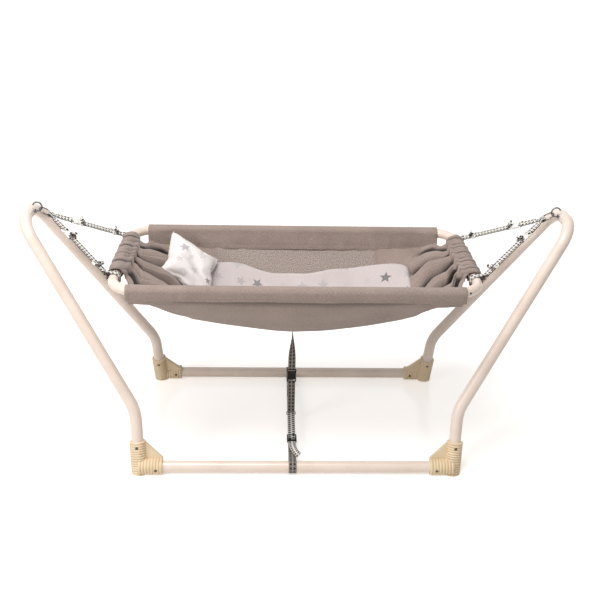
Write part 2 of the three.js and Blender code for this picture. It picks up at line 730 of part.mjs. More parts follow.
// Lower strap: an eye on the buckle's bar, a band through the slider, and a loop round the end tube
function lowerStrap(line) {
  const barCentre = MALE_END - BUCKLE_BAR / 2;
  const stops = [barCentre + EYE_NECK, line.length - LOOP_NECK];
  const backStops = [...stops].reverse();
  const barArc = (radius) => eyeArc(barCentre, radius, 1, EYE_STEPS);
  const tubeArc = (radius) => eyeArc(line.length, radius, -1, LOOP_STEPS);
  const outer = [
    ...barArc(BAR_EYE_RADIUS + EYE_WALL),
    ...bandEdge(stops, -WEBBING_HALF_THICKNESS),
    ...tubeArc(LOOP_RADIUS + EYE_WALL),
    ...bandEdge(backStops, WEBBING_HALF_THICKNESS),
  ];
  const barHole = [...barArc(BAR_EYE_RADIUS), new THREE.Vector2(barCentre + BAR_EYE_RADIUS * 2, 0)];
  const tubeHole = [...tubeArc(LOOP_RADIUS), new THREE.Vector2(line.length - LOOP_RADIUS * 2, 0)];
  return alongStrap(line, strapOutline(outer, [barHole, tubeHole]));
}

// A rigid piece on the strap, drawn with x along it, y across it and z out of it
function onStrap(line, distance, geometry) {
  return placed(geometry, strapPoint(line, distance), line.along, line.widthWise, line.normal);
}

// The end of a buckle that its webbing goes round: a bar between two arms
function buckleBarFrame(facing) {
  const length = BUCKLE_BAR + BUCKLE_WINDOW + BUCKLE_WALL;
  const frame = block(length, BUCKLE_WIDTH, BUCKLE_BAR_THICKNESS);
  const window = block(BUCKLE_WINDOW, WEBBING_WIDTH + GAP * 2, BUCKLE_THICKNESS);
  window.translate(facing * (length / 2 - BUCKLE_BAR - BUCKLE_WINDOW / 2), 0, 0);
  return cut(frame, window).translate(-facing * (length / 2), 0, 0);
}

function buckleFemale(line) {
  const barLength = BUCKLE_BAR + BUCKLE_WINDOW;
  const bodyLength = FEMALE_END - FEMALE_START - barLength;
  const body = block(bodyLength, BUCKLE_WIDTH, BUCKLE_THICKNESS);
  body.translate(barLength + bodyLength / 2, 0, 0);
  const pocketWidth = BUCKLE_WIDTH - BUCKLE_WALL * 2;
  const pocket = block(bodyLength, pocketWidth, BUCKLE_THICKNESS - BUCKLE_WALL * 2);
  pocket.translate(barLength + bodyLength / 2 + BUCKLE_WALL, 0, 0);
  const buckle = cut(joined(buckleBarFrame(-1), body), pocket);
  return onStrap(line, FEMALE_START, buckle);
}

function buckleMale(line) {
  const start = FEMALE_END + GAP;
  const barLength = BUCKLE_BAR + BUCKLE_WINDOW;
  const bodyLength = MALE_END - start - barLength;
  const body = block(bodyLength, BUCKLE_WIDTH, BUCKLE_THICKNESS);
  body.translate(-barLength - bodyLength / 2, 0, 0);
  const tongueWidth = BUCKLE_WIDTH - BUCKLE_WALL * 2 - GAP * 2;
  const tongueThickness = BUCKLE_THICKNESS - BUCKLE_WALL * 2 - GAP * 2;
  const tongue = block(TONGUE_LENGTH, tongueWidth, tongueThickness);
  tongue.translate(-barLength - bodyLength - TONGUE_LENGTH / 2 + GAP, 0, 0);
  return onStrap(line, MALE_END, joined(buckleBarFrame(1), body, tongue));
}

function strapSlider(line) {
  const opening = block(SLIDER_LENGTH * 2, SLIDER_OPENING_WIDTH, SLIDER_THICKNESS - SLIDER_WALL * 2);
  const body = block(SLIDER_LENGTH, SLIDER_WIDTH, SLIDER_THICKNESS);
  opening.scale(1, 1, (WEBBING_HALF_THICKNESS + GAP) / (SLIDER_THICKNESS / 2 - SLIDER_WALL));
  return onStrap(line, line.length * SLIDER_SHARE, cut(body, opening));
}

function ring(line) {
  const profile = circlePoints(RING_WIRE_RADIUS, WIRE_SIDES).map((p) => [RING_RADIUS + p.x, p.y]);
  profile.push(profile[0]);
  return placed(turned(profile, RING_STEPS), line.ringCentre, line.pull, line.tubeWise, line.normal);
}

// Cloth

// The long pocket of cloth round a side rail
function sleeve(depth) {
  const centre = new THREE.Vector2();
  const flatTopped = (radius) =>
    circlePoints(clearRadius(radius, SLEEVE_SIDES), SLEEVE_SIDES).map((p) =>
      p.rotateAround(centre, Math.PI / SLEEVE_SIDES),
    );
  const slackened = (p) => new THREE.Vector2(p.x - (p.x * depth < 0 ? depth * SLEEVE_SLACK : 0), p.y);
  const outline = flatTopped(SLEEVE_TOP).filter((p) => p.y > 0);
  outline.push(new THREE.Vector2(-SLEEVE_TOP, SLEEVE_CORNER - SLEEVE_DROP));
  outline.push(new THREE.Vector2(SLEEVE_CORNER - SLEEVE_TOP, -SLEEVE_DROP));
  outline.push(new THREE.Vector2(SLEEVE_TOP - SLEEVE_CORNER, -SLEEVE_DROP));
  outline.push(new THREE.Vector2(SLEEVE_TOP, SLEEVE_CORNER - SLEEVE_DROP));
  const shape = new THREE.Shape(outline.map(slackened));
  shape.holes.push(new THREE.Path(flatTopped(FRAME_TUBE_RADIUS + GAP).map(slackened)));
  const origin = point(FRAME_SHIFT, depth * FRAME_HALF_WIDTH, FRAME_HEIGHT);
  const body = plate(shape, SLEEVE_HALF_LENGTH * 2);
  return placed(body, origin, point(0, 1, 0), point(0, 0, 1), point(1, 0, 0));
}

// The cloth gathered on an end tube
function gatheredEnd(side) {
  const bore = clearRadius(FRAME_TUBE_RADIUS + GAP, GATHER_SIDES);
  const profile = [[bore, -GATHER_HALF_LENGTH]];
  const pitch = (2 * GATHER_HALF_LENGTH) / GATHER_COUNT;
  for (let i = 0; i < GATHER_COUNT; i += 1) {
    profile.push([GATHER_ROOT_RADIUS, i * pitch - GATHER_HALF_LENGTH]);
    profile.push([GATHER_CREST_RADIUS, (i + 1 / 2) * pitch - GATHER_HALF_LENGTH]);
  }
  profile.push([GATHER_ROOT_RADIUS, GATHER_HALF_LENGTH]);
  profile.push([bore, GATHER_HALF_LENGTH], [bore, -GATHER_HALF_LENGTH]);
  const origin = point(FRAME_SHIFT + side * FRAME_HALF_LENGTH, 0, FRAME_HEIGHT);
  return aimed(turned(profile, GATHER_SIDES), origin, point(0, 1, 0));
}

// A closed sheet: the upper and lower faces share one grid of columns and rows
function closedSheet(columns, rows, upper, lower) {
  const positions = [];
  const index = [];
  const rowLength = rows + 1;
  const layer = (columns + 1) * rowLength;
  [upper, lower].forEach((face) => {
    for (let i = 0; i <= columns; i += 1) {
      for (let j = 0; j <= rows; j += 1) positions.push(...face(i / columns, j / rows).toArray());
    }
  });
  const quad = (a, b, c, d) => index.push(a, b, c, a, c, d);
  for (let i = 0; i < columns; i += 1) {
    for (let j = 0; j < rows; j += 1) {
      const a = i * rowLength + j;
      quad(a, a + rowLength, a + rowLength + 1, a + 1);
      quad(layer + a, layer + a + 1, layer + a + rowLength + 1, layer + a + rowLength);
    }
  }
  const wall = (a, b) => quad(b, a, layer + a, layer + b);
  for (let i = 0; i < columns; i += 1) {
    wall(i * rowLength, (i + 1) * rowLength);
    wall((i + 1) * rowLength + rows, i * rowLength + rows);
  }
  for (let j = 0; j < rows; j += 1) {
    wall(j + 1, j);
    wall(columns * rowLength + j, columns * rowLength + j + 1);
  }
  const geometry = new THREE.BufferGeometry();
  geometry.setAttribute('position', new THREE.Float32BufferAttribute(positions, 3));
  geometry.setIndex(index);
  geometry.computeVertexNormals();
  return geometry;
}

// Half the bed's width at a distance along it from its middle
function bedHalfWidth(reach) {
  const start = BED_HALF_LENGTH - BED_CORNER_RADIUS;
  const past = Math.max(0, reach - start);
  const rest = Math.sqrt(Math.max(0, BED_CORNER_RADIUS ** 2 - past ** 2));
  return BED_HALF_WIDTH - (BED_CORNER_RADIUS - rest) * (FRAME_CORNER_RADIUS / BED_CORNER_RADIUS);
}

// The hanging cloth's height: a belly along and across, with folds that run in from the ends
function bedHeight(x, y) {
  const reach = Math.abs(x);
  const across = Math.min(1, Math.abs(y) / bedHalfWidth(reach));
  const out = reach / BELLY_HALF_LENGTH;
  const fall = 1 - BELLY_FALL_SHARE * out ** BELLY_FALL_POWER;
  const hang = BELLY_DEPTH * fall * Math.sqrt(1 - out ** BELLY_END_POWER);
  const endShare = THREE.MathUtils.smoothstep(reach, SLEEVE_HALF_LENGTH, BED_HALF_LENGTH);
  const edge = THREE.MathUtils.lerp(BED_EDGE_DROP, BED_END_DROP, endShare);
  const drop = edge + Math.max(0, hang - edge) * (1 - across ** 2);
  const rise = THREE.MathUtils.smoothstep(reach, FOLD_START, FOLD_PEAK);
  const fade = 1 - THREE.MathUtils.smoothstep(reach, FOLD_PEAK, BED_HALF_LENGTH);
  const foldTurn = (FULL_TURN * FOLD_COUNT * (across * Math.sign(y) + 1)) / 2;
  const fold = FOLD_DEPTH * rise * fade * (1 - across ** 4) * Math.cos(foldTurn);
  return FRAME_HEIGHT - drop + fold;
}

// The cloth's own place on the bed, its columns closer together towards the ends
function bedPlace(along, across) {
  const centred = 2 * along - 1;
  const x = BED_HALF_LENGTH * Math.sin((centred * Math.PI) / 2);
  const y = bedHalfWidth(Math.abs(x)) * (2 * across - 1);
  return point(x, y, bedHeight(x, y));
}

function fabricBed() {
  const face = (drop) => (along, across) =>
    bedPlace(along, across).add(point(FRAME_SHIFT, 0, -drop));
  return closedSheet(BED_LENGTH_STEPS, BED_WIDTH_STEPS, face(0), face(BED_THICKNESS));
}

// The pad lies in the belly and follows it; its ends are rounded
function mattressPad() {
  const face = (lift) => (along, across) => {
    const reach = Math.sin(((2 * along - 1) * Math.PI) / 2);
    const x = THREE.MathUtils.lerp(PAD_LEFT, PAD_RIGHT, (reach + 1) / 2);
    const taper = (1 - Math.abs(reach) ** PAD_CORNER_POWER) ** (1 / 2);
    const width = PAD_HALF_WIDTH * THREE.MathUtils.lerp(PAD_END_SHARE, 1, taper);
    const y = width * (2 * across - 1);
    return point(x, y, bedHeight(x - FRAME_SHIFT, y) + CLOTH_GAP + lift);
  };
  return closedSheet(PAD_LENGTH_STEPS, PAD_WIDTH_STEPS, face(PAD_THICKNESS), face(0));
}

// The pillow: a flat seam between its four corners, with a crown on each face
function pillow() {
  const face = (direction) => (along, across) => {
    const front = PILLOW_FRONT_LEFT.clone().lerp(PILLOW_FRONT_RIGHT, along);
    const rear = PILLOW_REAR_LEFT.clone().lerp(PILLOW_REAR_RIGHT, along);
    const place = front.lerp(rear, across);
    const dome = (1 - (2 * along - 1) ** 4) * (1 - (2 * across - 1) ** 4);
    const lengthWise = PILLOW_FRONT_RIGHT.clone().sub(PILLOW_FRONT_LEFT);
    const widthWise = PILLOW_REAR_LEFT.clone().sub(PILLOW_FRONT_LEFT);
    const normal = lengthWise.cross(widthWise).normalize();
    place.addScaledVector(normal, direction * (PILLOW_EDGE + PILLOW_CROWN * dome));
    return place.add(point(FRAME_SHIFT, 0, FRAME_HEIGHT));
  };
  return closedSheet(PILLOW_STEPS, PILLOW_STEPS, face(1), face(-1));
}

// Tether

// The strap under the belly, edge on at the top and turned to face the front at the buckle
function tetherUpper() {
  const bottom = TETHER_BUCKLE_TOP + GAP;
  const length = TETHER_TOP - bottom;
  const steps = [2, 1, TETHER_TWIST_STEPS];
  const strap = new THREE.BoxGeometry(WEBBING_WIDTH, TETHER_THICKNESS, length, ...steps);
  const position = strap.attributes.position;
  for (let i = 0; i < position.count; i += 1) {
    const [x, y, z] = [position.getX(i), position.getY(i), position.getZ(i)];
    const share = z / length + 1 / 2;
    const turn = TETHER_TWIST * share;
    const atTop = share > 1 - 1 / (2 * TETHER_TWIST_STEPS);
    position.setX(i, x * Math.cos(turn) - y * Math.sin(turn));
    position.setY(i, x * Math.sin(turn) + y * Math.cos(turn));
    if (atTop) position.setZ(i, z - (TETHER_TOP_SLOPE * Math.abs(x) * 2) / WEBBING_WIDTH);
  }
  return strap.translate(TETHER_X, 0, bottom + length / 2);
}

function tetherBox(width, thickness, bottom, top) {
  return block(width, thickness, top - bottom).translate(TETHER_X, 0, (top + bottom) / 2);
}

function tetherBuckleMale() {
  const tongueWidth = TETHER_BUCKLE_WIDTH - BUCKLE_WALL * 2 - GAP * 2;
  const tongueThickness = TETHER_BUCKLE_THICKNESS - BUCKLE_WALL * 2 - GAP * 2;
  const bottom = TETHER_BUCKLE_MIDDLE + GAP;
  const body = tetherBox(TETHER_BUCKLE_WIDTH, TETHER_BUCKLE_THICKNESS, bottom, TETHER_BUCKLE_TOP);
  const tongue = tetherBox(tongueWidth, tongueThickness, bottom - TONGUE_LENGTH, bottom + GAP);
  return joined(body, tongue);
}

function tetherBuckleFemale() {
  const body = tetherBox(
    TETHER_BUCKLE_WIDTH,
    TETHER_BUCKLE_THICKNESS,
    TETHER_BUCKLE_BOTTOM,
    TETHER_BUCKLE_MIDDLE,
  );
  const pocket = tetherBox(
    TETHER_BUCKLE_WIDTH - BUCKLE_WALL * 2,
    TETHER_BUCKLE_THICKNESS - BUCKLE_WALL * 2,
    TETHER_BUCKLE_MIDDLE - TONGUE_LENGTH - GAP * 2,
    TETHER_BUCKLE_TOP,
  );
  return cut(body, pocket);
}

// The lower strap, its eye on the ring's top bar and its free tail beside the buckle
function tetherLower() {
  const top = TETHER_BUCKLE_BOTTOM - GAP;
  const barHeight = TETHER_RING_TOP - RING_BAR / 2;
  const eyeRadius = BAR_EYE_RADIUS + EYE_WALL;
  const neck = barHeight + EYE_NECK;
  const half = TETHER_THICKNESS / 2;
  const arc = (radius) => eyeArc(barHeight, radius, 1, EYE_STEPS);
  const tailBottom = top - TETHER_TAIL_LENGTH;
  const tailFace = -half - TETHER_TAIL_OFFSET;
  const bendTop = top - TETHER_TAIL_OFFSET;
  const outer = [
    ...arc(eyeRadius),
    new THREE.Vector2(neck, -half),
    new THREE.Vector2(bendTop - TETHER_TAIL_OFFSET, -half),
    new THREE.Vector2(tailBottom, tailFace),
    new THREE.Vector2(tailBottom, tailFace - TAIL_THICKNESS),
    new THREE.Vector2(bendTop, -half - TAIL_THICKNESS),
    new THREE.Vector2(top, -half),
    new THREE.Vector2(top, half),
    new THREE.Vector2(neck, half),
  ];
  const hole = [...arc(BAR_EYE_RADIUS), new THREE.Vector2(barHeight + BAR_EYE_RADIUS * 2, 0)];
  const strap = plate(strapOutline(outer, [hole]), WEBBING_WIDTH);
  return placed(strap, point(TETHER_X, 0, 0), point(0, 0, 1), point(0, 1, 0), point(-1, 0, 0));
}

function tetherRing() {
  const height = TETHER_RING_TOP - TETHER_RING_BOTTOM;
  const middle = (TETHER_RING_TOP + TETHER_RING_BOTTOM) / 2;
  const body = block(TETHER_RING_WIDTH, RING_BAR, height);
  const opening = block(TETHER_RING_WIDTH - RING_BAR * 2, RING_BAR * 2, height - RING_BAR * 2);
  return cut(body, opening).translate(TETHER_X, 0, middle);
}

// Cross strap

// How far the strap lies above the bars' axes at a place along it
function crossLift(y) {
  return CROSS_LIFT * (1 - Math.abs(y) / CROSS_TIP);
}

// The drop-shaped loop round a floor bar, in (depth, height above the bars' axes)
function barLoop(depth, radius, reach) {
  const arc = eyeArc(depth * BAR_HALF_DEPTH, radius, -depth, CROSS_EYE_STEPS);
  return new THREE.Shape([...arc, new THREE.Vector2(depth * (BAR_HALF_DEPTH - reach), 0)]);
}

// The strap between the loops, lifted in its middle by the tether's ring
function crossRun() {
  const half = CROSS_THICKNESS / 2;
  return new THREE.Shape([
    new THREE.Vector2(-CROSS_TIP, -half),
    new THREE.Vector2(0, CROSS_LIFT - half),
    new THREE.Vector2(CROSS_TIP, -half),
    new THREE.Vector2(CROSS_TIP, half),
    new THREE.Vector2(0, CROSS_LIFT + half),
    new THREE.Vector2(-CROSS_TIP, half),
  ]);
}

function acrossX(shape, width) {
  const body = plate(shape, width);
  const origin = point(TETHER_X, 0, BAR_HEIGHT);
  return placed(body, origin, point(0, 1, 0), point(0, 0, 1), point(1, 0, 0));
}

// The free tail past the lock: it rises over the front loop and curls to the right
function crossTail() {
  const length = TAIL_START - TAIL_END;
  const width = WEBBING_WIDTH - GAP;
  const tail = new THREE.BoxGeometry(width, length, TAIL_THICKNESS, 1, TAIL_STEPS, 1);
  const position = tail.attributes.position;
  for (let i = 0; i < position.count; i += 1) {
    const share = 1 / 2 - position.getY(i) / length;
    position.setX(i, position.getX(i) + TAIL_SWING * share ** 3);
    position.setZ(i, position.getZ(i) + TAIL_RISE * Math.sin((share * Math.PI) / 2));
  }
  const height = BAR_HEIGHT + crossLift(TAIL_START) + CROSS_THICKNESS / 2;
  return tail.translate(TETHER_X, (TAIL_START + TAIL_END) / 2, height);
}

function crossStrap() {
  const outerRadius = CROSS_HOLE_RADIUS + CROSS_THICKNESS;
  const innerReach = CROSS_EYE_REACH - CROSS_THICKNESS * 4;
  const loops = [FRONT, REAR].map((depth) =>
    acrossX(barLoop(depth, outerRadius, CROSS_EYE_REACH), WEBBING_WIDTH),
  );
  const holes = [FRONT, REAR].map((depth) =>
    acrossX(barLoop(depth, CROSS_HOLE_RADIUS, innerReach), WEBBING_WIDTH * 2),
  );
  return cut(joined(acrossX(crossRun(), WEBBING_WIDTH), ...loops, crossTail()), ...holes);
}

function crossStrapLock() {
  const body = block(LOCK_WIDTH, LOCK_LENGTH, LOCK_THICKNESS);
  const opening = block(SLIDER_OPENING_WIDTH, LOCK_LENGTH * 2, LOCK_THICKNESS - LOCK_WALL * 2);
  const slope = Math.atan(CROSS_LIFT / CROSS_TIP);
  const height = BAR_HEIGHT + crossLift(LOCK_PLACE) + LOCK_LIFT;
  return cut(body, opening).rotateX(slope).translate(TETHER_X, LOCK_PLACE, height);
}

// Assembly

Object.entries(SIDES).forEach(([sideName, side]) => {
  addPiece(`arch_${sideName}`, arch(side), tubePaint);
  addPiece(`hook_${sideName}`, hook(side), chrome);
  addPiece(`hook_nut_${sideName}`, hookNut(side), chrome);
  Object.entries(DEPTHS).forEach(([depthName, depth]) => {
    const corner = `${depthName}_${sideName}`;
    const legScrew = connectorScrew(legScrewOrigin(side, depth), legScrewDirection(depth));
    const barScrew = connectorScrew(barScrewOrigin(side, depth), point(0, -1, 0));
    addPiece(`corner_connector_${corner}`, cornerConnector(side, depth), cornerPlastic);
    addPiece(`leg_screw_${corner}`, legScrew, screwSteel);
    addPiece(`bar_screw_${corner}`, barScrew, screwSteel);
  });
});

Object.entries(DEPTHS).forEach(([depthName, depth]) => {
  addPiece(`floor_bar_${depthName}`, floorBar(depth), tubePaint);
  addPiece(`side_rail_${depthName}`, sideRail(depth), tubePaint);
  addPiece(`sleeve_${depthName}`, sleeve(depth), taupeCloth);
});

Object.entries(SIDES).forEach(([sideName, side]) => {
  addPiece(`end_tube_${sideName}`, endTube(side), tubePaint);
  addPiece(`gathered_end_${sideName}`, gatheredEnd(side), taupeCloth);
  addPiece(`ring_${sideName}`, ring(strapLine(side, FRONT)), chrome);
  Object.entries(DEPTHS).forEach(([depthName, depth]) => {
    const corner = `${depthName}_${sideName}`;
    const line = strapLine(side, depth);
    addPiece(`upper_strap_${corner}`, upperStrap(line), patternWebbing);
    addPiece(`buckle_female_${corner}`, buckleFemale(line), whitePlastic);
    addPiece(`buckle_male_${corner}`, buckleMale(line), whitePlastic);
    addPiece(`lower_strap_${corner}`, lowerStrap(line), patternWebbing);
    addPiece(`strap_slider_${corner}`, strapSlider(line), whitePlastic);
  });
});

addPiece('fabric_bed', fabricBed(), taupeCloth);
addPiece('mattress_pad', mattressPad(), starCloth);
addPiece('pillow', pillow(), starCloth);
addPiece('tether_strap_upper', tetherUpper(), darkWebbing);
addPiece('tether_buckle_male', tetherBuckleMale(), blackPlastic);
addPiece('tether_buckle_female', tetherBuckleFemale(), blackPlastic);
addPiece('tether_strap_lower', tetherLower(), darkWebbing);
addPiece('tether_ring', tetherRing(), blackPlastic);
addPiece('cross_strap', crossStrap(), patternWebbing);
addPiece('cross_strap_lock', crossStrapLock(), blackPlastic);

export default cradleOnStand;
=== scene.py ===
import math

import bmesh
import bpy
from mathutils import Matrix, Vector, noise


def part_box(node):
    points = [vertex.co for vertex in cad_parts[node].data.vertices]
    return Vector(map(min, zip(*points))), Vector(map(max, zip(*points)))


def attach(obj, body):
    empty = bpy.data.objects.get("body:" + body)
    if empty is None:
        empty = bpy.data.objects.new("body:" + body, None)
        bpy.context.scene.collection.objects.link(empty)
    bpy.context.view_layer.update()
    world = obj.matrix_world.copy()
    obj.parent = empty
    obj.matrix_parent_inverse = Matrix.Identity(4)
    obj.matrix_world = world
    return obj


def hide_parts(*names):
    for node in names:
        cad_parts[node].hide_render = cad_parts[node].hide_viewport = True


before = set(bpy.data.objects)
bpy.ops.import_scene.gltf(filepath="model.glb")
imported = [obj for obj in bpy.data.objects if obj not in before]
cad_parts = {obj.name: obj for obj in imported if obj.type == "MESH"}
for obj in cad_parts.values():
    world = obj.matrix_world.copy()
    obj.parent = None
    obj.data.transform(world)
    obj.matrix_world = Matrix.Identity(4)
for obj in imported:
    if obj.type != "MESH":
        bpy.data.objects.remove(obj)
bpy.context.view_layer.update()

MM = 0.001

# Stand
TUBE_RADIUS = 15 * MM
TUBE_SIDES = 40
BEND_STEPS = 20
FOOT_HALF_LENGTH = 400.6 * MM
FOOT_HALF_DEPTH = 242 * MM
LEG_START_HEIGHT = 9 * MM
LEAN_OUT = 0.05
LEAN_IN = 0.253
KNEE_HEIGHT = 158 * MM
KNEE_BEND_RADIUS = 120 * MM
APEX_HALF_SPAN = 678 * MM
APEX_HEIGHT = 608 * MM
APEX_CORNER_HALF_DEPTH = 66 * MM
APEX_BEND_RADIUS = 68 * MM
BAR_HEIGHT = 17.5 * MM
BAR_HALF_DEPTH = 245 * MM
BAR_ROOT = FOOT_HALF_LENGTH + LEAN_OUT * BAR_HEIGHT

# Corner connectors
SOCKET_CREST = 20.8 * MM
SOCKET_ROOT = 18.3 * MM
SOCKET_BORE = 15.4 * MM
LEG_SOCKET_LENGTH = 83 * MM
BAR_SOCKET_LENGTH = 61 * MM
LEG_RIBS = 13
BAR_RIBS = 8
RIB_STEPS = 8
RIB_ROUNDNESS = 0.6
SOCKET_SIDES = 56
WEB_THICKNESS = 9 * MM
LEG_SCREW_REACH = 68 * MM
BAR_SCREW_REACH = 45 * MM
SCREW_HEAD_SEAT = 17.8 * MM
SCREW_HEAD_RADIUS = 3.6 * MM
SCREW_HEAD_ROOM = 0.5 * MM
SCREW_SEAT_SINK = 0.4 * MM
SCREW_SEAT_REACH = 30 * MM
FLOOR_CUT = 100 * MM
FLUTE_HEIGHT = 0.9 * MM

# Hooks and rings
HOOK_WIRE = 2 * MM
HOOK_BEND = 11.5 * MM
HOOK_CENTRE_X = APEX_HALF_SPAN - 24 * MM
HOOK_RISE = 5 * MM
HOOK_SHANK_HEIGHT = APEX_HEIGHT + HOOK_RISE
HOOK_CENTRE_HEIGHT = HOOK_SHANK_HEIGHT + HOOK_BEND
HOOK_SWEEP = math.radians(250)
HOOK_SHANK_INSIDE = 6 * MM
THREAD_TURNS = 22
THREAD_STEPS = 6
THREAD_DEPTH = 0.22 * MM
BEND_RINGS = 48
NUT_BORE = 2.35 * MM
NUT_STAND_OFF = 2.35 * MM
NUT_FACE = 4.6 * MM
NUT_RADIUS = 5.4 * MM
NUT_LENGTH = 4 * MM
NUT_CHAMFER = 0.7 * MM
RING_RADIUS = 16 * MM
RING_WIRE = 1.75 * MM
RING_STEPS = 72
RING_GAP = 0.9 * MM

# Cradle frame
CRADLE_SHIFT = -8 * MM
CRADLE_HALF_LENGTH = 442 * MM
CRADLE_HALF_WIDTH = 212 * MM
CRADLE_HEIGHT = 490 * MM
CRADLE_CORNER_RADIUS = 68 * MM
CRADLE_TUBE_RADIUS = 12.5 * MM
CRADLE_TUBE_SIDES = 36
CRADLE_JOINT = 350 * MM
SLEEVE_HALF_LENGTH = 403 * MM
BUTTON_GAP = 4 * MM
# The button's radii and their distances from the tube's axis, in mm
BUTTON_PROFILE = ((0, 11.5), (2.4, 11.5), (2.4, 13.1), (1.9, 13.8), (1, 14.2), (0, 14.3))

# Straps
WEBBING_WIDTH = 20 * MM
WEBBING_LAYER = 1.1 * MM
BUNCHED_WIDTH = 10.5 * MM
BUNCHED_CENTRE = 5.95 * MM
BUNCHED_LENGTH = 21 * MM
SPREAD_LENGTH = 40 * MM
STRAP_HALF_SPREAD = 134 * MM
SETTLE_LENGTH = 24 * MM
TURN_LENGTH = 12 * MM
BUCKLE_START = 72 * MM
BUCKLE_END = 106 * MM
BUCKLE_BAR = 1.4 * MM  # radius
BUCKLE_WIDTH = 25.5
BUCKLE_THICKNESS = 7.6
SLIDER_SHARE = 0.775
LAYER_GAP = 0.1 * MM
BAR_EYE = 2.4 * MM
RING_EYE = 2.3 * MM
EYE_NECK = 7 * MM
TUBE_NECK = 31 * MM
TUBE_GAP = 0.6 * MM
STITCHED_SHARE = 0.42
STITCH_LIFT = 0.25 * MM
STRAP_STITCHES = (2.2, 1.9, 0.32)
LAST_STITCH_ROW = 34 * MM
STRAP_STEP = 3 * MM
# The strap's curled bit, in mm along from the ring and up, and its loose end, along from the slider and up
STRAP_CURL = ((109, 4.4), (105.5, 5.2), (102, 6.8), (99.5, 9.0), (98.6, 11.4), (100, 13.4), (102.6, 13.8),
              (104.6, 12.2), (104.8, 10.2))
STRAP_END = ((5.2, 1.95), (6.8, 2.2), (8.8, 3.1), (10.6, 4.9), (11.7, 7.4), (11.5, 10.2), (9.8, 12.3),
             (7.2, 12.9), (4.8, 11.7))

SIDES = {"left": -1, "right": 1}
DEPTHS = {"front": -1, "rear": 1}
CORNERS = [(f"{depth_name}_{side_name}", side, depth) for side_name, side in SIDES.items()
           for depth_name, depth in DEPTHS.items()]


# Camera, light and floor

CAMERA_PLACE = Vector((-0.0654085, -2.0721919, 1.3191802))
CAMERA_YAW = 0.035
CAMERA_PITCH = 0.4279
CAMERA_ROLL = 0.0223
CAMERA_LENS = 51.774  # mm, on Blender's 36 mm sensor
FARTHEST_SEEN = 60
ROOM_LIGHT = 0.38  # what the white room sheds, beside the 1.0 that is seen of it
FLOOR_GLOW = 0.5
FLOOR_HALF = 30


def paint(red, green, blue):
    """A linear colour from the eight-bit values a screen shows"""
    def linear(value):
        share = value / 255
        return share / 12.92 if share <= 0.04045 else ((share + 0.055) / 1.055) ** 2.4
    return (linear(red), linear(green), linear(blue), 1)


def add(tree, kind, inputs=(), **settings):
    """A node with its settings, and its inputs by name or number; a socket is linked"""
    made = tree.nodes.new(kind)
    for key, value in settings.items():
        setattr(made, key, value)
    for key, value in dict(inputs).items():
        if isinstance(value, bpy.types.NodeSocket):
            tree.links.new(value, made.inputs[key])
        else:
            made.inputs[key].default_value = value
    return made


def maths(tree, operation, *values):
    return add(tree, "ShaderNodeMath", dict(enumerate(values)), operation=operation).outputs[0]


def plus(tree, first, second):
    return maths(tree, "ADD", first, second)


def minus(tree, first, second):
    return maths(tree, "SUBTRACT", first, second)


def times(tree, first, second):
    return maths(tree, "MULTIPLY", first, second)


def length_of(tree, x, y):
    return maths(tree, "SQRT", plus(tree, times(tree, x, x), times(tree, y, y)))


def placed(name, data):
    """A new object in the scene"""
    made = bpy.data.objects.new(name, data)
    bpy.context.scene.collection.objects.link(made)
    return made


def place_camera():
    ahead = Vector((math.sin(CAMERA_YAW) * math.cos(CAMERA_PITCH),
                    math.cos(CAMERA_YAW) * math.cos(CAMERA_PITCH), -math.sin(CAMERA_PITCH)))
    level = Vector((math.cos(CAMERA_YAW), -math.sin(CAMERA_YAW), 0))
    above = level.cross(ahead)
    right = math.cos(CAMERA_ROLL) * level + math.sin(CAMERA_ROLL) * above
    up = right.cross(ahead)
    lens = bpy.data.cameras.new("camera")
    lens.lens = CAMERA_LENS
    lens.clip_end = FARTHEST_SEEN
    camera = placed("camera", lens)
    camera.matrix_world = Matrix.Translation(CAMERA_PLACE) @ Matrix((right, up, -ahead)).transposed().to_4x4()
    bpy.context.scene.camera = camera


def add_lamp(name, place, aim, size, power, colour):
    light = bpy.data.lights.new(name, "AREA")
    light.shape = "RECTANGLE"
    light.size, light.size_y = size
    light.energy = power
    light.color = colour
    lamp = placed(name, light)
    lamp.location = place
    lamp.rotation_euler = (Vector(aim) - Vector(place)).to_track_quat("-Z", "Y").to_euler()


def light_the_room():
    bpy.context.scene.view_settings.view_transform = "Standard"
    world = bpy.data.worlds.new("studio")
    world.use_nodes = True
    bpy.context.scene.world = world
    tree = world.node_tree
    path = add(tree, "ShaderNodeLightPath")
    seen = maths(tree, "MAXIMUM", path.outputs["Is Camera Ray"],
                 maths(tree, "MAXIMUM", path.outputs["Is Glossy Ray"], path.outputs["Is Transmission Ray"]))
    background = tree.nodes["Background"]
    background.inputs["Color"].default_value = (1, 1, 1, 1)
    tree.links.new(spread(tree, seen, ROOM_LIGHT, 1.0), background.inputs["Strength"])
    add_lamp("overhead softbox", (-0.5, -0.6, 2.6), (0, 0, 0.3), (1.3, 1.0), 46, (1, 0.985, 0.97))
    add_lamp("left softbox", (-2.2, -1.6, 1.5), (0, 0, 0.35), (0.9, 1.1), 24, (1, 0.98, 0.96))


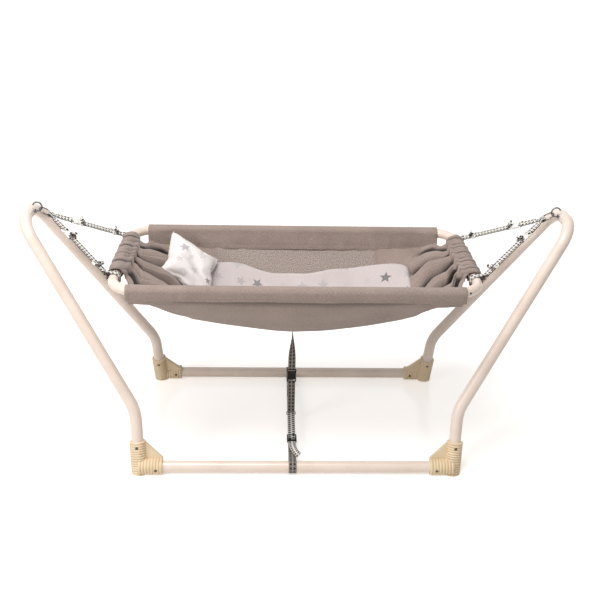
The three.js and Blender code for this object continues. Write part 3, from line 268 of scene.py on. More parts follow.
def lay_floor():
    corners = [(x * FLOOR_HALF, y * FLOOR_HALF, 0) for x, y in ((-1, -1), (1, -1), (1, 1), (-1, 1))]
    mesh = mesh_of("floor", corners, [(0, 1, 2, 3)], False)
    floor = placed("floor", mesh)
    material, tree, shader = new_finish("gloss white floor", (0.9, 0.875, 0.85, 1), 0.16,
                                        Emission_Color=(1, 0.975, 0.945, 1))
    path = add(tree, "ShaderNodeLightPath")
    seen = maths(tree, "MAXIMUM", path.outputs["Is Camera Ray"], path.outputs["Is Glossy Ray"])
    tree.links.new(times(tree, seen, FLOOR_GLOW), shader.inputs["Emission Strength"])
    mesh.materials.append(material)


# Finishes

def new_finish(name, colour, roughness, **sockets):
    material = bpy.data.materials.new(name)
    material.use_nodes = True
    shader = material.node_tree.nodes["Principled BSDF"]
    shader.inputs["Base Color"].default_value = colour
    shader.inputs["Roughness"].default_value = roughness
    for key, value in sockets.items():
        shader.inputs[key.replace("_", " ")].default_value = value
    return material, material.node_tree, shader


def spot_noise(tree, vector, scale, detail=3.0, roughness=0.55):
    return add(tree, "ShaderNodeTexNoise", {"Vector": vector, "Scale": scale, "Detail": detail,
                                            "Roughness": roughness}).outputs["Fac"]


def spread(tree, value, low, high, start=0.0, stop=1.0):
    """The value moved from the range start to stop onto low to high"""
    return add(tree, "ShaderNodeMapRange", {"Value": value, "From Min": start, "From Max": stop,
                                            "To Min": low, "To Max": high}).outputs["Result"]


def blend_colours(tree, share, first, second):
    """One colour turned into another by a share"""
    made = add(tree, "ShaderNodeMix", {0: share}, data_type="RGBA")
    for number, colour in ((6, first), (7, second)):
        if isinstance(colour, bpy.types.NodeSocket):
            tree.links.new(colour, made.inputs[number])
        else:
            made.inputs[number].default_value = colour
    return made.outputs[2]


def bumped(tree, shader, height, distance, strength=1.0):
    bump = add(tree, "ShaderNodeBump", {"Height": height, "Distance": distance, "Strength": strength})
    tree.links.new(bump.outputs["Normal"], shader.inputs["Normal"])


def object_place(tree, stretch=(1, 1, 1)):
    place = add(tree, "ShaderNodeTexCoord").outputs["Object"]
    return add(tree, "ShaderNodeMapping", {"Vector": place, "Scale": stretch}).outputs["Vector"]


def cloth_place(tree, stretch=(1, 1, 1)):
    """The piece's own cloth map: metres on cloth, and shares of its width by metres on webbing"""
    place = add(tree, "ShaderNodeUVMap", uv_map="cloth").outputs["UV"]
    return add(tree, "ShaderNodeMapping", {"Vector": place, "Scale": stretch}).outputs["Vector"]


def coated_finish(name, colour, worn, roughness, grain=900, grain_depth=0.04, **sockets):
    """Paint or moulded plastic: faint cloudy tone, fine grain and uneven gloss"""
    material, tree, shader = new_finish(name, colour, roughness, **sockets)
    place = object_place(tree)
    cloud = spot_noise(tree, place, 14)
    fine = spot_noise(tree, place, grain, 2)
    tone = blend_colours(tree, spread(tree, cloud, 0, 1, 0.35, 0.7), colour, worn)
    tree.links.new(tone, shader.inputs["Base Color"])
    scuffs = spot_noise(tree, object_place(tree, (1, 1, 0.2)), 160, 5, 0.7)
    scuffed = spread(tree, scuffs, roughness - 0.07, roughness + 0.1, 0.3, 0.7)
    tree.links.new(plus(tree, scuffed, spread(tree, fine, -0.03, 0.03)), shader.inputs["Roughness"])
    bumped(tree, shader, plus(tree, fine, times(tree, cloud, 0.5)), grain_depth * MM)
    return material


def polished_chrome():
    material, tree, shader = new_finish("polished chrome", (0.28, 0.28, 0.29, 1), 0.1, Metallic=1.0)
    place = object_place(tree)
    haze = spot_noise(tree, place, 120, 4)
    tree.links.new(spread(tree, haze, 0.05, 0.22, 0.3, 0.75), shader.inputs["Roughness"])
    tone = blend_colours(tree, haze, (0.06, 0.06, 0.065, 1), (0.24, 0.24, 0.25, 1))
    tree.links.new(tone, shader.inputs["Base Color"])
    bumped(tree, shader, spot_noise(tree, place, 700), 0.02 * MM)
    return material


def dull_screw_steel():
    material, tree, shader = new_finish("dull screw steel", paint(105, 98, 88), 0.4, Metallic=0.85)
    place = object_place(tree)
    stain = spot_noise(tree, place, 500, 4)
    tone = blend_colours(tree, stain, paint(70, 62, 54), paint(132, 124, 112))
    tree.links.new(tone, shader.inputs["Base Color"])
    tree.links.new(spread(tree, stain, 0.28, 0.6), shader.inputs["Roughness"])
    bumped(tree, shader, spot_noise(tree, object_place(tree, (1, 6, 1)), 900), 0.05 * MM)
    return material


def weave_height(tree, place, pitch):
    """Over-and-under threads: two crossed bands, each raised where the other dips"""
    split = add(tree, "ShaderNodeSeparateXYZ", {"Vector": place})
    turns = 2 * math.pi / pitch
    warp = maths(tree, "SINE", times(tree, split.outputs["X"], turns))
    weft = maths(tree, "SINE", times(tree, split.outputs["Y"], turns))
    return times(tree, warp, weft)


def plain_cloth(name, dark, light, thread, slub=1.0, sheen=0.25, crumple=0.0):
    """Woven cloth with heathered threads that run both ways"""
    material, tree, shader = new_finish(name, light, 0.85, Sheen_Weight=sheen, Sheen_Roughness=0.5)
    along = spot_noise(tree, cloth_place(tree, (0.22, 1.6, 1)), 900, 3, 0.6)
    across = spot_noise(tree, cloth_place(tree, (1.6, 0.22, 1)), 800, 3, 0.6)
    cloud = spot_noise(tree, cloth_place(tree), 9, 3)
    mixed = times(tree, plus(tree, along, across), 0.5)
    heather = spread(tree, mixed, 0.5 - 0.5 * slub, 0.5 + 0.5 * slub, 0.36, 0.64)
    share = plus(tree, heather, spread(tree, cloud, -0.12, 0.12, 0.3, 0.7))
    clamped = maths(tree, "MINIMUM", maths(tree, "MAXIMUM", share, 0), 1)
    tree.links.new(blend_colours(tree, clamped, dark, light), shader.inputs["Base Color"])
    tree.links.new(spread(tree, mixed, 0.78, 0.95), shader.inputs["Roughness"])
    wrinkles = spot_noise(tree, cloth_place(tree, (1, 0.4, 1)), 38, 5, 0.62)
    threads = plus(tree, weave_height(tree, cloth_place(tree), thread), times(tree, mixed, 1.5))
    bumped(tree, shader, plus(tree, threads, times(tree, wrinkles, 22 * crumple)), 0.12 * MM, 0.8)
    return material, tree, shader


def dotted_webbing():
    """Woven strap: dark dots on a pale face, and on the other face larger dots on charcoal"""
    material, tree, shader = new_finish("dotted webbing", paint(200, 196, 190), 0.8, Sheen_Weight=0.15)
    split = add(tree, "ShaderNodeSeparateXYZ", {"Vector": cloth_place(tree)})
    across, along = split.outputs["X"], split.outputs["Y"]
    is_dark_face = maths(tree, "GREATER_THAN", across, 1.5)
    share = minus(tree, across, times(tree, is_dark_face, 2))

    def dots(row_centres, pitch, radius, stagger):
        spots = None
        for number, centre in enumerate(row_centres):
            aside = times(tree, minus(tree, share, centre), WEBBING_WIDTH)
            shifted = plus(tree, along, stagger * number * pitch)
            passed = maths(tree, "MODULO", plus(tree, shifted, 1000 * pitch), pitch)
            reach = length_of(tree, aside, minus(tree, passed, pitch / 2))
            spot = spread(tree, reach, 1, 0, radius * 0.9, radius * 1.1)
            spots = spot if spots is None else maths(tree, "MAXIMUM", spots, spot)
        return spots

    pale_dots = dots((0.24, 0.76), 9.5 * MM, 3.4 * MM, 0.5)
    dark_dots = dots((0.27, 0.75), 11 * MM, 3 * MM, 0)
    specks = dots((0.05, 0.5, 0.95), 5.5 * MM, 1.1 * MM, 0.5)
    threads = weave_height(tree, cloth_place(tree, (WEBBING_WIDTH, 1, 1)), 1.5 * MM)
    fuzz = spot_noise(tree, cloth_place(tree, (0.02, 1, 1)), 1500)
    pale = blend_colours(tree, pale_dots, paint(244, 240, 233), paint(22, 21, 21))
    charcoal = blend_colours(tree, specks, paint(122, 113, 107), paint(214, 208, 200))
    charcoal = blend_colours(tree, dark_dots, charcoal, paint(14, 13, 13))
    face = blend_colours(tree, is_dark_face, pale, charcoal)
    rim = spread(tree, maths(tree, "ABSOLUTE", minus(tree, share, 0.5)), 0, 1, 0.44, 0.475)
    face = blend_colours(tree, rim, face, paint(70, 66, 64))
    worn = blend_colours(tree, spread(tree, fuzz, 0, 0.08, 0.3, 0.8), face, paint(150, 144, 138))
    tree.links.new(worn, shader.inputs["Base Color"])
    tree.links.new(spread(tree, fuzz, 0.7, 0.92), shader.inputs["Roughness"])
    bumped(tree, shader, plus(tree, threads, fuzz), 0.18 * MM, 0.8)
    return material


STAR_INNER = 0.44
STAR_HALF_POINT = math.pi / 5


def star_cotton(name, dark, light):
    """White cotton printed with scattered five-pointed stars: plain, dark and dotted ones"""
    material, tree, shader = plain_cloth(name, dark, light, 0.5 * MM, 0.5, 0.05, 0.35)
    cotton = shader.inputs["Base Color"].links[0].from_socket
    cell = 58 * MM
    place = cloth_place(tree, (1 / cell, 1 / cell, 1))
    number = add(tree, "ShaderNodeVectorMath", {0: place}, operation="FLOOR").outputs[0]
    within = add(tree, "ShaderNodeVectorMath", {0: place}, operation="FRACTION").outputs[0]
    chance = add(tree, "ShaderNodeTexWhiteNoise", {"Vector": number}, noise_dimensions="2D")
    chances = add(tree, "ShaderNodeSeparateColor", {"Color": chance.outputs["Color"]})
    aside, ahead = (add(tree, "ShaderNodeSeparateXYZ", {"Vector": within}).outputs[k] for k in ("X", "Y"))
    x = minus(tree, aside, spread(tree, chances.outputs[0], 0.36, 0.64))
    y = minus(tree, ahead, spread(tree, chances.outputs[1], 0.36, 0.64))
    size = spread(tree, chances.outputs[2], 0.20, 0.33)
    reach = maths(tree, "DIVIDE", length_of(tree, x, y), size)
    turn = times(tree, chance.outputs["Value"], 2 * math.pi)
    angle = plus(tree, maths(tree, "ARCTAN2", y, x), plus(tree, turn, 8 * math.pi))
    from_point = maths(tree, "PINGPONG", angle, STAR_HALF_POINT)
    beside = (STAR_INNER * math.sin(STAR_HALF_POINT), 1 - STAR_INNER * math.cos(STAR_HALF_POINT))
    past_tip = times(tree, minus(tree, times(tree, reach, maths(tree, "COSINE", from_point)), 1), beside[0])
    past_side = times(tree, times(tree, reach, maths(tree, "SINE", from_point)), beside[1])
    outside = plus(tree, past_tip, past_side)
    star = spread(tree, outside, 1, 0, -0.015, 0.015)
    is_dotted = maths(tree, "GREATER_THAN", chances.outputs[0], 0.72)
    dots = weave_height(tree, cloth_place(tree), 5 * MM)
    dotted = maths(tree, "GREATER_THAN", dots, 0.25)
    ink = times(tree, star, maths(tree, "MAXIMUM", minus(tree, 1, is_dotted), dotted))
    grey = spread(tree, maths(tree, "PINGPONG", times(tree, chance.outputs["Value"], 5), 1), 0, 1, 0, 0.55)
    tone = blend_colours(tree, grey, paint(96, 93, 97), paint(186, 181, 183))
    inked = blend_colours(tree, times(tree, ink, 0.92), cotton, tone)
    tree.links.new(inked, shader.inputs["Base Color"])
    return material


def taupe_cloth(name):
    """The cradle's own cloth, with its colour socket for more to be mixed in"""
    material, tree, shader = plain_cloth(name, paint(124, 109, 102), paint(182, 164, 154), 0.8 * MM, 0.9,
                                         0.2, 1.0)
    return material, tree, shader.inputs["Base Color"], shader.inputs["Base Color"].links[0].from_socket


def marked_share(tree, name):
    return add(tree, "ShaderNodeAttribute", attribute_name=name).outputs["Fac"]


def outer_cloth():
    """Taupe cloth of the cradle's outside, with painted shade close under the sleeves"""
    material, tree, colour, taupe = taupe_cloth("taupe cloth outside")
    # Painted shade: the outside cloth turned dark brown where the sleeves overhang it
    tree.links.new(blend_colours(tree, marked_share(tree, "painted_sleeve_shade"), taupe, paint(70, 58, 53)), colour)
    return material


def bed_cloth():
    """Taupe cloth whose long walls carry a paler, coarser heather panel in their middle, and painted shade in
    its folds' valleys
    """
    material, tree, colour, taupe = taupe_cloth("taupe cloth")
    speck = spot_noise(tree, cloth_place(tree, (1, 0.8, 1)), 420, 4, 0.75)
    specks = spread(tree, speck, 0, 1, 0.36, 0.64)
    heather = blend_colours(tree, specks, paint(98, 87, 82), paint(198, 183, 175))
    woven = blend_colours(tree, marked_share(tree, "heather"), taupe, heather)
    # Painted shade: the cloth turned deep brown in the folds' valleys
    tree.links.new(blend_colours(tree, marked_share(tree, "painted_fold_shade"), woven, paint(44, 35, 32)), colour)
    return material


# Shaping

def smooth_share(value, start, stop):
    share = min(1.0, max(0.0, (value - start) / (stop - start)))
    return share * share * (3 - 2 * share)


def between(first, second, share):
    return first + (second - first) * share


def new_piece(name, mesh, body, material, *nodes):
    """Puts a finished mesh in the scene, on its body, in place of its CAD nodes"""
    piece = placed(name, mesh)
    if material is not None:
        mesh.materials.clear()
        mesh.materials.append(material)
    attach(piece, body)
    if nodes:
        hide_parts(*nodes)
    return piece


def mesh_of(name, points, faces, smooth=True):
    mesh = bpy.data.meshes.new(name)
    mesh.from_pydata([tuple(p) for p in points], [], faces)
    mesh.update()
    mesh.polygons.foreach_set("use_smooth", [smooth] * len(mesh.polygons))
    return mesh


def lay_cloth_map(mesh, spots):
    mesh.uv_layers.new(name="cloth").data.foreach_set("uv", spots)


def mark_points(mesh, name, values):
    mesh.attributes.new(name, "FLOAT", "POINT").data.foreach_set("value", values)


def thicken(piece, thickness):
    """Gives a sheet its thickness on its inner side"""
    solid = piece.modifiers.new("thickness", "SOLIDIFY")
    solid.thickness = thickness
    solid.offset = -1
    return solid


def finished_mesh(item):
    """An object's mesh with its modifiers made real"""
    return bpy.data.meshes.new_from_object(item.evaluated_get(bpy.context.evaluated_depsgraph_get()))


def neighbours(path, i, closed=False):
    """The places before and after one of a path's places, or the place itself at an open end"""
    count = len(path)
    return (path[(i - 1) % count] if closed or i > 0 else path[i],
            path[(i + 1) % count] if closed or i < count - 1 else path[i])


def walked(path):
    """How far along a path each of its points lies"""
    lengths = [0.0]
    for a, b in zip(path, path[1:]):
        lengths.append(lengths[-1] + (b - a).length)
    return lengths


def grid_faces(columns, rows):
    """The faces of a sheet whose points are listed column by column"""
    corners = [i * (rows + 1) + j for i in range(columns) for j in range(rows)]
    return [(a, a + rows + 1, a + rows + 2, a + 1) for a in corners]


def paired_faces(columns, rows):
    """The faces of two such sheets, the second's points after the first's and its faces turned round"""
    layer = (columns + 1) * (rows + 1)
    return [face for quad in grid_faces(columns, rows)
            for face in (quad, tuple(layer + k for k in reversed(quad)))]


def tube_mesh(name, path, radii, sides, closed=False):
    """A round rod or wire along a path, each ring square to it"""
    count = len(path)
    points = []
    side_way = None
    for i, place in enumerate(path):
        before, after = neighbours(path, i, closed)
        heading = (after - before).normalized()
        if side_way is None:
            side_way = heading.orthogonal().normalized()
        side_way = (side_way - heading * side_way.dot(heading)).normalized()
        other = heading.cross(side_way)
        radius = radii[i] if isinstance(radii, list) else radii
        for k in range(sides):
            angle = 2 * math.pi * k / sides
            points.append(place + radius * (math.cos(angle) * side_way + math.sin(angle) * other))
    faces = []
    for i in range(count if closed else count - 1):
        for k in range(sides):
            a, b = i * sides + k, i * sides + (k + 1) % sides
            c, d = ((i + 1) % count) * sides + (k + 1) % sides, ((i + 1) % count) * sides + k
            faces.append((a, b, c, d))
    if not closed:
        faces.append(tuple(reversed(range(sides))))
        faces.append(tuple((count - 1) * sides + k for k in range(sides)))
    return mesh_of(name, points, faces)


def turned_mesh(name, profile, sides, axis_matrix):
    """A turned solid from (radius, height) pairs about +Z, moved by a matrix"""
    rings = []
    points = []
    for radius, height in profile:
        if radius < 1e-9:
            rings.append([len(points)] * sides)
            points.append(Vector((0, 0, height)))
        else:
            rings.append([len(points) + k for k in range(sides)])
            points += [Vector((radius * math.cos(2 * math.pi * k / sides),
                               radius * math.sin(2 * math.pi * k / sides), height)) for k in range(sides)]
    faces = []
    for low, high in zip(rings, rings[1:]):
        for k in range(sides):
            corner = [low[k], low[(k + 1) % sides], high[(k + 1) % sides], high[k]]
            faces.append(tuple(dict.fromkeys(corner)))
    faces = [f for f in faces if len(f) > 2]
    return mesh_of(name, [axis_matrix @ p for p in points], faces)


def aimed(origin, direction):
    """A matrix that turns +Z to a direction and moves it to an origin"""
    return Matrix.Translation(origin) @ Vector(direction).to_track_quat("Z", "Y").to_matrix().to_4x4()


def facing_out(mesh, merged=True):
    """A mesh with its doubles merged and its faces turned outwards"""
    work = bmesh.new()
    work.from_mesh(mesh)
    if merged:
        bmesh.ops.remove_doubles(work, verts=work.verts, dist=1e-6)
    bmesh.ops.recalc_face_normals(work, faces=work.faces)
    work.to_mesh(mesh)
    work.free()
    return mesh


def box_mesh(name, low, high, bevel=0.0, steps=3):
    """A block between two corners with rounded edges"""
    work = bmesh.new()
    bmesh.ops.create_cube(work, size=1)
    for vert in work.verts:
        vert.co = Vector([between(low[k], high[k], vert.co[k] + 0.5) for k in range(3)])
    if bevel:
        bmesh.ops.bevel(work, geom=list(work.edges), offset=bevel, segments=steps, profile=0.5,
                        affect="EDGES")
    mesh = bpy.data.meshes.new(name)
    work.to_mesh(mesh)
    work.free()
    return mesh


def moved(mesh, matrix):
    """A copy of a mesh in its own place, its faces still outwards"""
    copy = mesh.copy()
    copy.transform(matrix)
    if matrix.determinant() < 0:
        copy.flip_normals()
    return copy


def carved(name, body, cuts=(), joins=()):
    """Solids joined to a body and then cut from it"""
    base = placed(name, body)
    helpers = []
    for operation, meshes in (("UNION", joins), ("DIFFERENCE", cuts)):
        for mesh in meshes:
            helpers.append(placed("tool", mesh))
            step = base.modifiers.new(operation, "BOOLEAN")
            step.operation = operation
            step.solver = "EXACT"
            step.object = helpers[-1]
    mesh = finished_mesh(base)
    for item in [base, *helpers]:
        bpy.data.objects.remove(item)
    return mesh


def soften_edges(mesh, angle=math.radians(35)):
    """Smooth faces with sharp edges kept where the surface turns hard"""
    mesh.polygons.foreach_set("use_smooth", [True] * len(mesh.polygons))
    mesh.set_sharp_from_angle(angle=angle)
    return mesh


# Geometry trees

def new_tree(name, inputs):
    tree = bpy.data.node_groups.new(name, "GeometryNodeTree")
    tree.interface.new_socket("Geometry", in_out="INPUT", socket_type="NodeSocketGeometry")
    for title, kind in inputs.items():
        tree.interface.new_socket(title, in_out="INPUT", socket_type=kind)
    tree.interface.new_socket("Geometry", in_out="OUTPUT", socket_type="NodeSocketGeometry")
    return tree, tree.nodes.new("NodeGroupInput"), tree.nodes.new("NodeGroupOutput")


def finish_tree(tree, made, material, result):
    """The tree's last nodes: real geometry, smooth faces and the finish"""
    real = add(tree, "GeometryNodeRealizeInstances", {"Geometry": made})
    smooth = add(tree, "GeometryNodeSetShadeSmooth", {"Geometry": real.outputs[0]})
    coated = add(tree, "GeometryNodeSetMaterial", {"Geometry": smooth.outputs[0], "Material": material})
    tree.links.new(coated.outputs[0], result.inputs[0])


def grown_mesh(name, start, tree, values):
    """The plain mesh that a tree makes from a starting mesh"""
    seed = placed(name, start)
    making = seed.modifiers.new("making", "NODES")
    making.node_group = tree
    for socket in tree.interface.items_tree:
        if socket.in_out == "INPUT" and socket.name in values:
            making[socket.identifier] = values[socket.name]
    mesh = finished_mesh(seed)
    bpy.data.objects.remove(seed)
    mesh.name = name
    return mesh


def line_mesh(points, bends=None):
    """A bare line of edges, with a bend radius at each point if given"""
    mesh = bpy.data.meshes.new("line")
    mesh.from_pydata([tuple(p) for p in points], [(i, i + 1) for i in range(len(points) - 1)], [])
    if bends:
        mark_points(mesh, "bend_radius", bends)
    return mesh


def bent_tube_tree():
    """A round tube along a line whose corners are bent to their own radius"""
    tree, given, result = new_tree(
        "bent tube", {"Tube Radius": "NodeSocketFloat", "Tube Sides": "NodeSocketInt",
                      "Bend Steps": "NodeSocketInt", "Paint": "NodeSocketMaterial"})
    line = add(tree, "GeometryNodeMeshToCurve", {"Mesh": given.outputs["Geometry"]})
    bend = add(tree, "GeometryNodeInputNamedAttribute", {"Name": "bend_radius"}, data_type="FLOAT")
    rounded = add(tree, "GeometryNodeFilletCurve",
                  {"Curve": line.outputs[0], "Radius": bend.outputs["Attribute"]}, mode="POLY")
    tree.links.new(given.outputs["Bend Steps"], rounded.inputs["Count"])
    section = add(tree, "GeometryNodeCurvePrimitiveCircle",
                  {"Resolution": given.outputs["Tube Sides"], "Radius": given.outputs["Tube Radius"]})
    tube = add(tree, "GeometryNodeCurveToMesh",
               {"Curve": rounded.outputs[0], "Profile Curve": section.outputs[0], "Fill Caps": True})
    finish_tree(tree, tube.outputs[0], given.outputs["Paint"], result)
    return tree


def ribbed_socket_tree():
    """A socket's outside along a straight line, its radius rising to a crest at each rib"""
    tree, given, result = new_tree(
        "ribbed socket", {"Root Radius": "NodeSocketFloat", "Crest Radius": "NodeSocketFloat",
                          "Rib Count": "NodeSocketInt", "Plastic": "NodeSocketMaterial"})
    ribs, root = given.outputs["Rib Count"], given.outputs["Root Radius"]
    line = add(tree, "GeometryNodeMeshToCurve", {"Mesh": given.outputs["Geometry"]})
    fine = add(tree, "GeometryNodeResampleCurve",
               {"Curve": line.outputs[0], "Count": plus(tree, times(tree, ribs, RIB_STEPS), 1)})
    share = add(tree, "GeometryNodeSplineParameter").outputs["Factor"]
    turns = times(tree, times(tree, share, ribs), math.pi)
    crest = maths(tree, "POWER", maths(tree, "ABSOLUTE", maths(tree, "SINE", turns)), RIB_ROUNDNESS)
    radius = plus(tree, root, times(tree, crest, minus(tree, given.outputs["Crest Radius"], root)))
    section = add(tree, "GeometryNodeCurvePrimitiveCircle", {"Resolution": SOCKET_SIDES, "Radius": 1.0})
    rod = add(tree, "GeometryNodeCurveToMesh", {"Curve": fine.outputs[0], "Profile Curve": section.outputs[0],
                                                "Scale": radius, "Fill Caps": True})
    finish_tree(tree, rod.outputs[0], given.outputs["Plastic"], result)
    return tree


def stitch_row_tree():
    """Short threads that lie end to end along a seam's line"""
    tree, given, result = new_tree(
        "stitch row", {"Stitch Pitch": "NodeSocketFloat", "Stitch Length": "NodeSocketFloat",
                       "Thread Radius": "NodeSocketFloat", "Thread": "NodeSocketMaterial"})
    line = add(tree, "GeometryNodeMeshToCurve", {"Mesh": given.outputs["Geometry"]})
    points = add(tree, "GeometryNodeCurveToPoints", {"Curve": line.outputs[0]}, mode="LENGTH")
    tree.links.new(given.outputs["Stitch Pitch"], points.inputs["Length"])
    ball = add(tree, "GeometryNodeMeshUVSphere", {"Segments": 6, "Rings": 4, "Radius": 1.0})
    thick, half = given.outputs["Thread Radius"], times(tree, given.outputs["Stitch Length"], 0.5)
    size = add(tree, "ShaderNodeCombineXYZ", {"X": thick, "Y": thick, "Z": half})
    turn = add(tree, "FunctionNodeAlignRotationToVector", {"Vector": points.outputs["Tangent"]}, axis="Z")
    stitches = add(tree, "GeometryNodeInstanceOnPoints",
                   {"Points": points.outputs["Points"], "Instance": ball.outputs["Mesh"],
                    "Rotation": turn.outputs["Rotation"], "Scale": size.outputs[0]})
    finish_tree(tree, stitches.outputs[0], given.outputs["Thread"], result)
    return tree


def screw_set_tree():
    """One screw head set at every point, turned to the point's own direction"""
    tree, given, result = new_tree("screw set", {"Screw": "NodeSocketObject", "Steel": "NodeSocketMaterial"})
    way = add(tree, "GeometryNodeInputNamedAttribute", {"Name": "way"}, data_type="FLOAT_VECTOR")
    turn = add(tree, "FunctionNodeAlignRotationToVector", {"Vector": way.outputs["Attribute"]}, axis="Z")
    screw = add(tree, "GeometryNodeObjectInfo", {"Object": given.outputs["Screw"]})
    heads = add(tree, "GeometryNodeInstanceOnPoints",
                {"Points": given.outputs["Geometry"], "Instance": screw.outputs["Geometry"],
                 "Rotation": turn.outputs["Rotation"]})
    finish_tree(tree, heads.outputs[0], given.outputs["Steel"], result)
    return tree


# Stand

def leg_point(side, depth, height):
    return Vector((side * (FOOT_HALF_LENGTH + LEAN_OUT * height),
                   depth * (FOOT_HALF_DEPTH - LEAN_IN * height), height))


def leg_way(side, depth):
    return Vector((side * LEAN_OUT, -depth * LEAN_IN, 1)).normalized()


def screw_seats(side, depth):
    """The leg screw's and the bar screw's places on their tubes' axes, each with its head's direction"""
    leg = leg_point(side, depth, 0) + leg_way(side, depth) * LEG_SCREW_REACH
    bar = Vector((side * (BAR_ROOT - BAR_SCREW_REACH), depth * BAR_HALF_DEPTH, BAR_HEIGHT))
    return (leg, Vector((0, -1, -depth * LEAN_IN)).normalized()), (bar, Vector((0, -1, 0)))


def make_tube(name, corners, bends, radius, sides, steps, body, node, tube_tree, enamel):
    values = {"Tube Radius": radius, "Tube Sides": sides, "Bend Steps": steps, "Paint": enamel}
    mesh = grown_mesh(name, line_mesh(corners, bends), tube_tree, values)
    new_piece(name, facing_out(mesh), body, None, node)


def make_stand_tubes(tube_tree, enamel):
    bends = [0, KNEE_BEND_RADIUS, APEX_BEND_RADIUS, APEX_BEND_RADIUS, KNEE_BEND_RADIUS, 0]
    for side_name, side in SIDES.items():
        corners = [leg_point(side, -1, LEG_START_HEIGHT), leg_point(side, -1, KNEE_HEIGHT),
                   Vector((side * APEX_HALF_SPAN, -APEX_CORNER_HALF_DEPTH, APEX_HEIGHT)),
                   Vector((side * APEX_HALF_SPAN, APEX_CORNER_HALF_DEPTH, APEX_HEIGHT)),
                   leg_point(side, 1, KNEE_HEIGHT), leg_point(side, 1, LEG_START_HEIGHT)]
        make_tube(f"arch_tube_{side_name}", corners, bends, TUBE_RADIUS, TUBE_SIDES, BEND_STEPS, "stand",
                  f"arch_{side_name}", tube_tree, enamel)
    left_end, right_end = (corner[0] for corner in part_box("floor_bar_front"))
    for depth_name, depth in DEPTHS.items():
        ends = [Vector((x, depth * BAR_HALF_DEPTH, BAR_HEIGHT)) for x in (left_end, right_end)]
        make_tube(f"floor_tube_{depth_name}", ends, [0, 0], TUBE_RADIUS, TUBE_SIDES, 1, "stand",
                  f"floor_bar_{depth_name}", tube_tree, enamel)


def web_mesh(side, depth):
    """The connector's triangular web, its lower half fluted like the bar socket beside it"""
    columns, rows = 64, 14
    inward = Vector((-side, 0, 0))
    up = Vector((0, -depth * LEAN_IN, 1)).normalized()
    out = inward.cross(up)
    origin = Vector((side * BAR_ROOT, depth * FOOT_HALF_DEPTH, 0))
    shoulder = SOCKET_ROOT - 2 * MM
    points = []
    for face in (1, -1):
        for i in range(columns + 1):
            along = BAR_SOCKET_LENGTH * i / columns
            slope = max(0.0, (along - shoulder) / (BAR_SOCKET_LENGTH - shoulder))
            top = between(LEG_SOCKET_LENGTH - 2 * MM, BAR_HEIGHT + SOCKET_CREST, slope)
            for j in range(rows + 1):
                height = between(BAR_HEIGHT, top, j / rows)
                flute = abs(math.sin(math.pi * BAR_RIBS * along / BAR_SOCKET_LENGTH)) - 0.5
                fade = 1 - smooth_share(height, BAR_HEIGHT + 0.9 * SOCKET_CREST,
                                        BAR_HEIGHT + 1.7 * SOCKET_CREST)
                half = WEB_THICKNESS / 2 + FLUTE_HEIGHT * flute * fade
                points.append(origin + inward * along + up * height + out * face * half)
    layer = (columns + 1) * (rows + 1)
    faces = paired_faces(columns, rows)
    for i in range(columns):
        for j in (0, rows):
            a, b = i * (rows + 1) + j, (i + 1) * (rows + 1) + j
            faces.append((a, b, layer + b, layer + a))
    for j in range(rows):
        for i in (0, columns):
            a, b = i * (rows + 1) + j, i * (rows + 1) + j + 1
            faces.append((a, b, layer + b, layer + a))
    return facing_out(mesh_of("web", points, faces))


def rod_between(first, second, radius, sides=TUBE_SIDES):
    return facing_out(tube_mesh("rod", [first, second], radius, sides))


def make_connectors(socket_tree, plastic):
    sizes = {"Root Radius": SOCKET_ROOT, "Crest Radius": SOCKET_CREST, "Plastic": plastic}
    for corner, side, depth in CORNERS:
        foot, up = leg_point(side, depth, 0), leg_way(side, depth)
        root = Vector((side * BAR_ROOT, depth * BAR_HALF_DEPTH, BAR_HEIGHT))
        inward = Vector((-side, 0, 0))
        pitch = LEG_SOCKET_LENGTH / LEG_RIBS
        leg = grown_mesh("leg socket", line_mesh([foot - up * pitch, foot + up * LEG_SOCKET_LENGTH]),
                         socket_tree, {**sizes, "Rib Count": LEG_RIBS + 1})
        bar = grown_mesh("bar socket", line_mesh([root, root + inward * BAR_SOCKET_LENGTH]), socket_tree,
                         {**sizes, "Rib Count": BAR_RIBS})
        below = box_mesh("below the floor", foot + Vector((-FLOOR_CUT, -FLOOR_CUT, -FLOOR_CUT)),
                         foot + Vector((FLOOR_CUT, FLOOR_CUT, 0)))
        cuts = [facing_out(below),
                rod_between(foot + up * (LEG_START_HEIGHT - MM), foot + up * (LEG_SOCKET_LENGTH + MM),
                            SOCKET_BORE),
                rod_between(root + inward * (SOCKET_BORE + 2 * MM), root + inward * (BAR_SOCKET_LENGTH + MM),
                            SOCKET_BORE)]
        for place, way in screw_seats(side, depth):
            seat, mouth = place + way * (SCREW_HEAD_SEAT - SCREW_SEAT_SINK), place + way * SCREW_SEAT_REACH
            cuts.append(rod_between(seat, mouth, SCREW_HEAD_RADIUS + SCREW_HEAD_ROOM, 24))
        mesh = carved("connector", facing_out(leg), cuts, [facing_out(bar), web_mesh(side, depth)])
        new_piece(f"ribbed_connector_{corner}", soften_edges(mesh), "stand", plastic,
                  f"corner_connector_{corner}")


def screw_head_mesh():
    """A pan head with a crossed recess, its seat at the origin"""
    height = 2.3 * MM
    profile = [(0, -3 * MM), (1.9 * MM, -3 * MM), (1.9 * MM, 0), (SCREW_HEAD_RADIUS, 0),
               (SCREW_HEAD_RADIUS, 0.9 * MM), (3.2 * MM, 1.6 * MM), (2.2 * MM, 2.1 * MM), (0, height)]
    head = facing_out(turned_mesh("screw head", profile, 28, Matrix()))
    slots = [box_mesh("slot", Vector((-2 * MM, -0.45 * MM, 1.1 * MM)), Vector((2 * MM, 0.45 * MM, 3 * MM))),
             box_mesh("slot", Vector((-0.45 * MM, -2 * MM, 1.1 * MM)), Vector((0.45 * MM, 2 * MM, 3 * MM)))]
    return soften_edges(carved("screw head", head, slots))


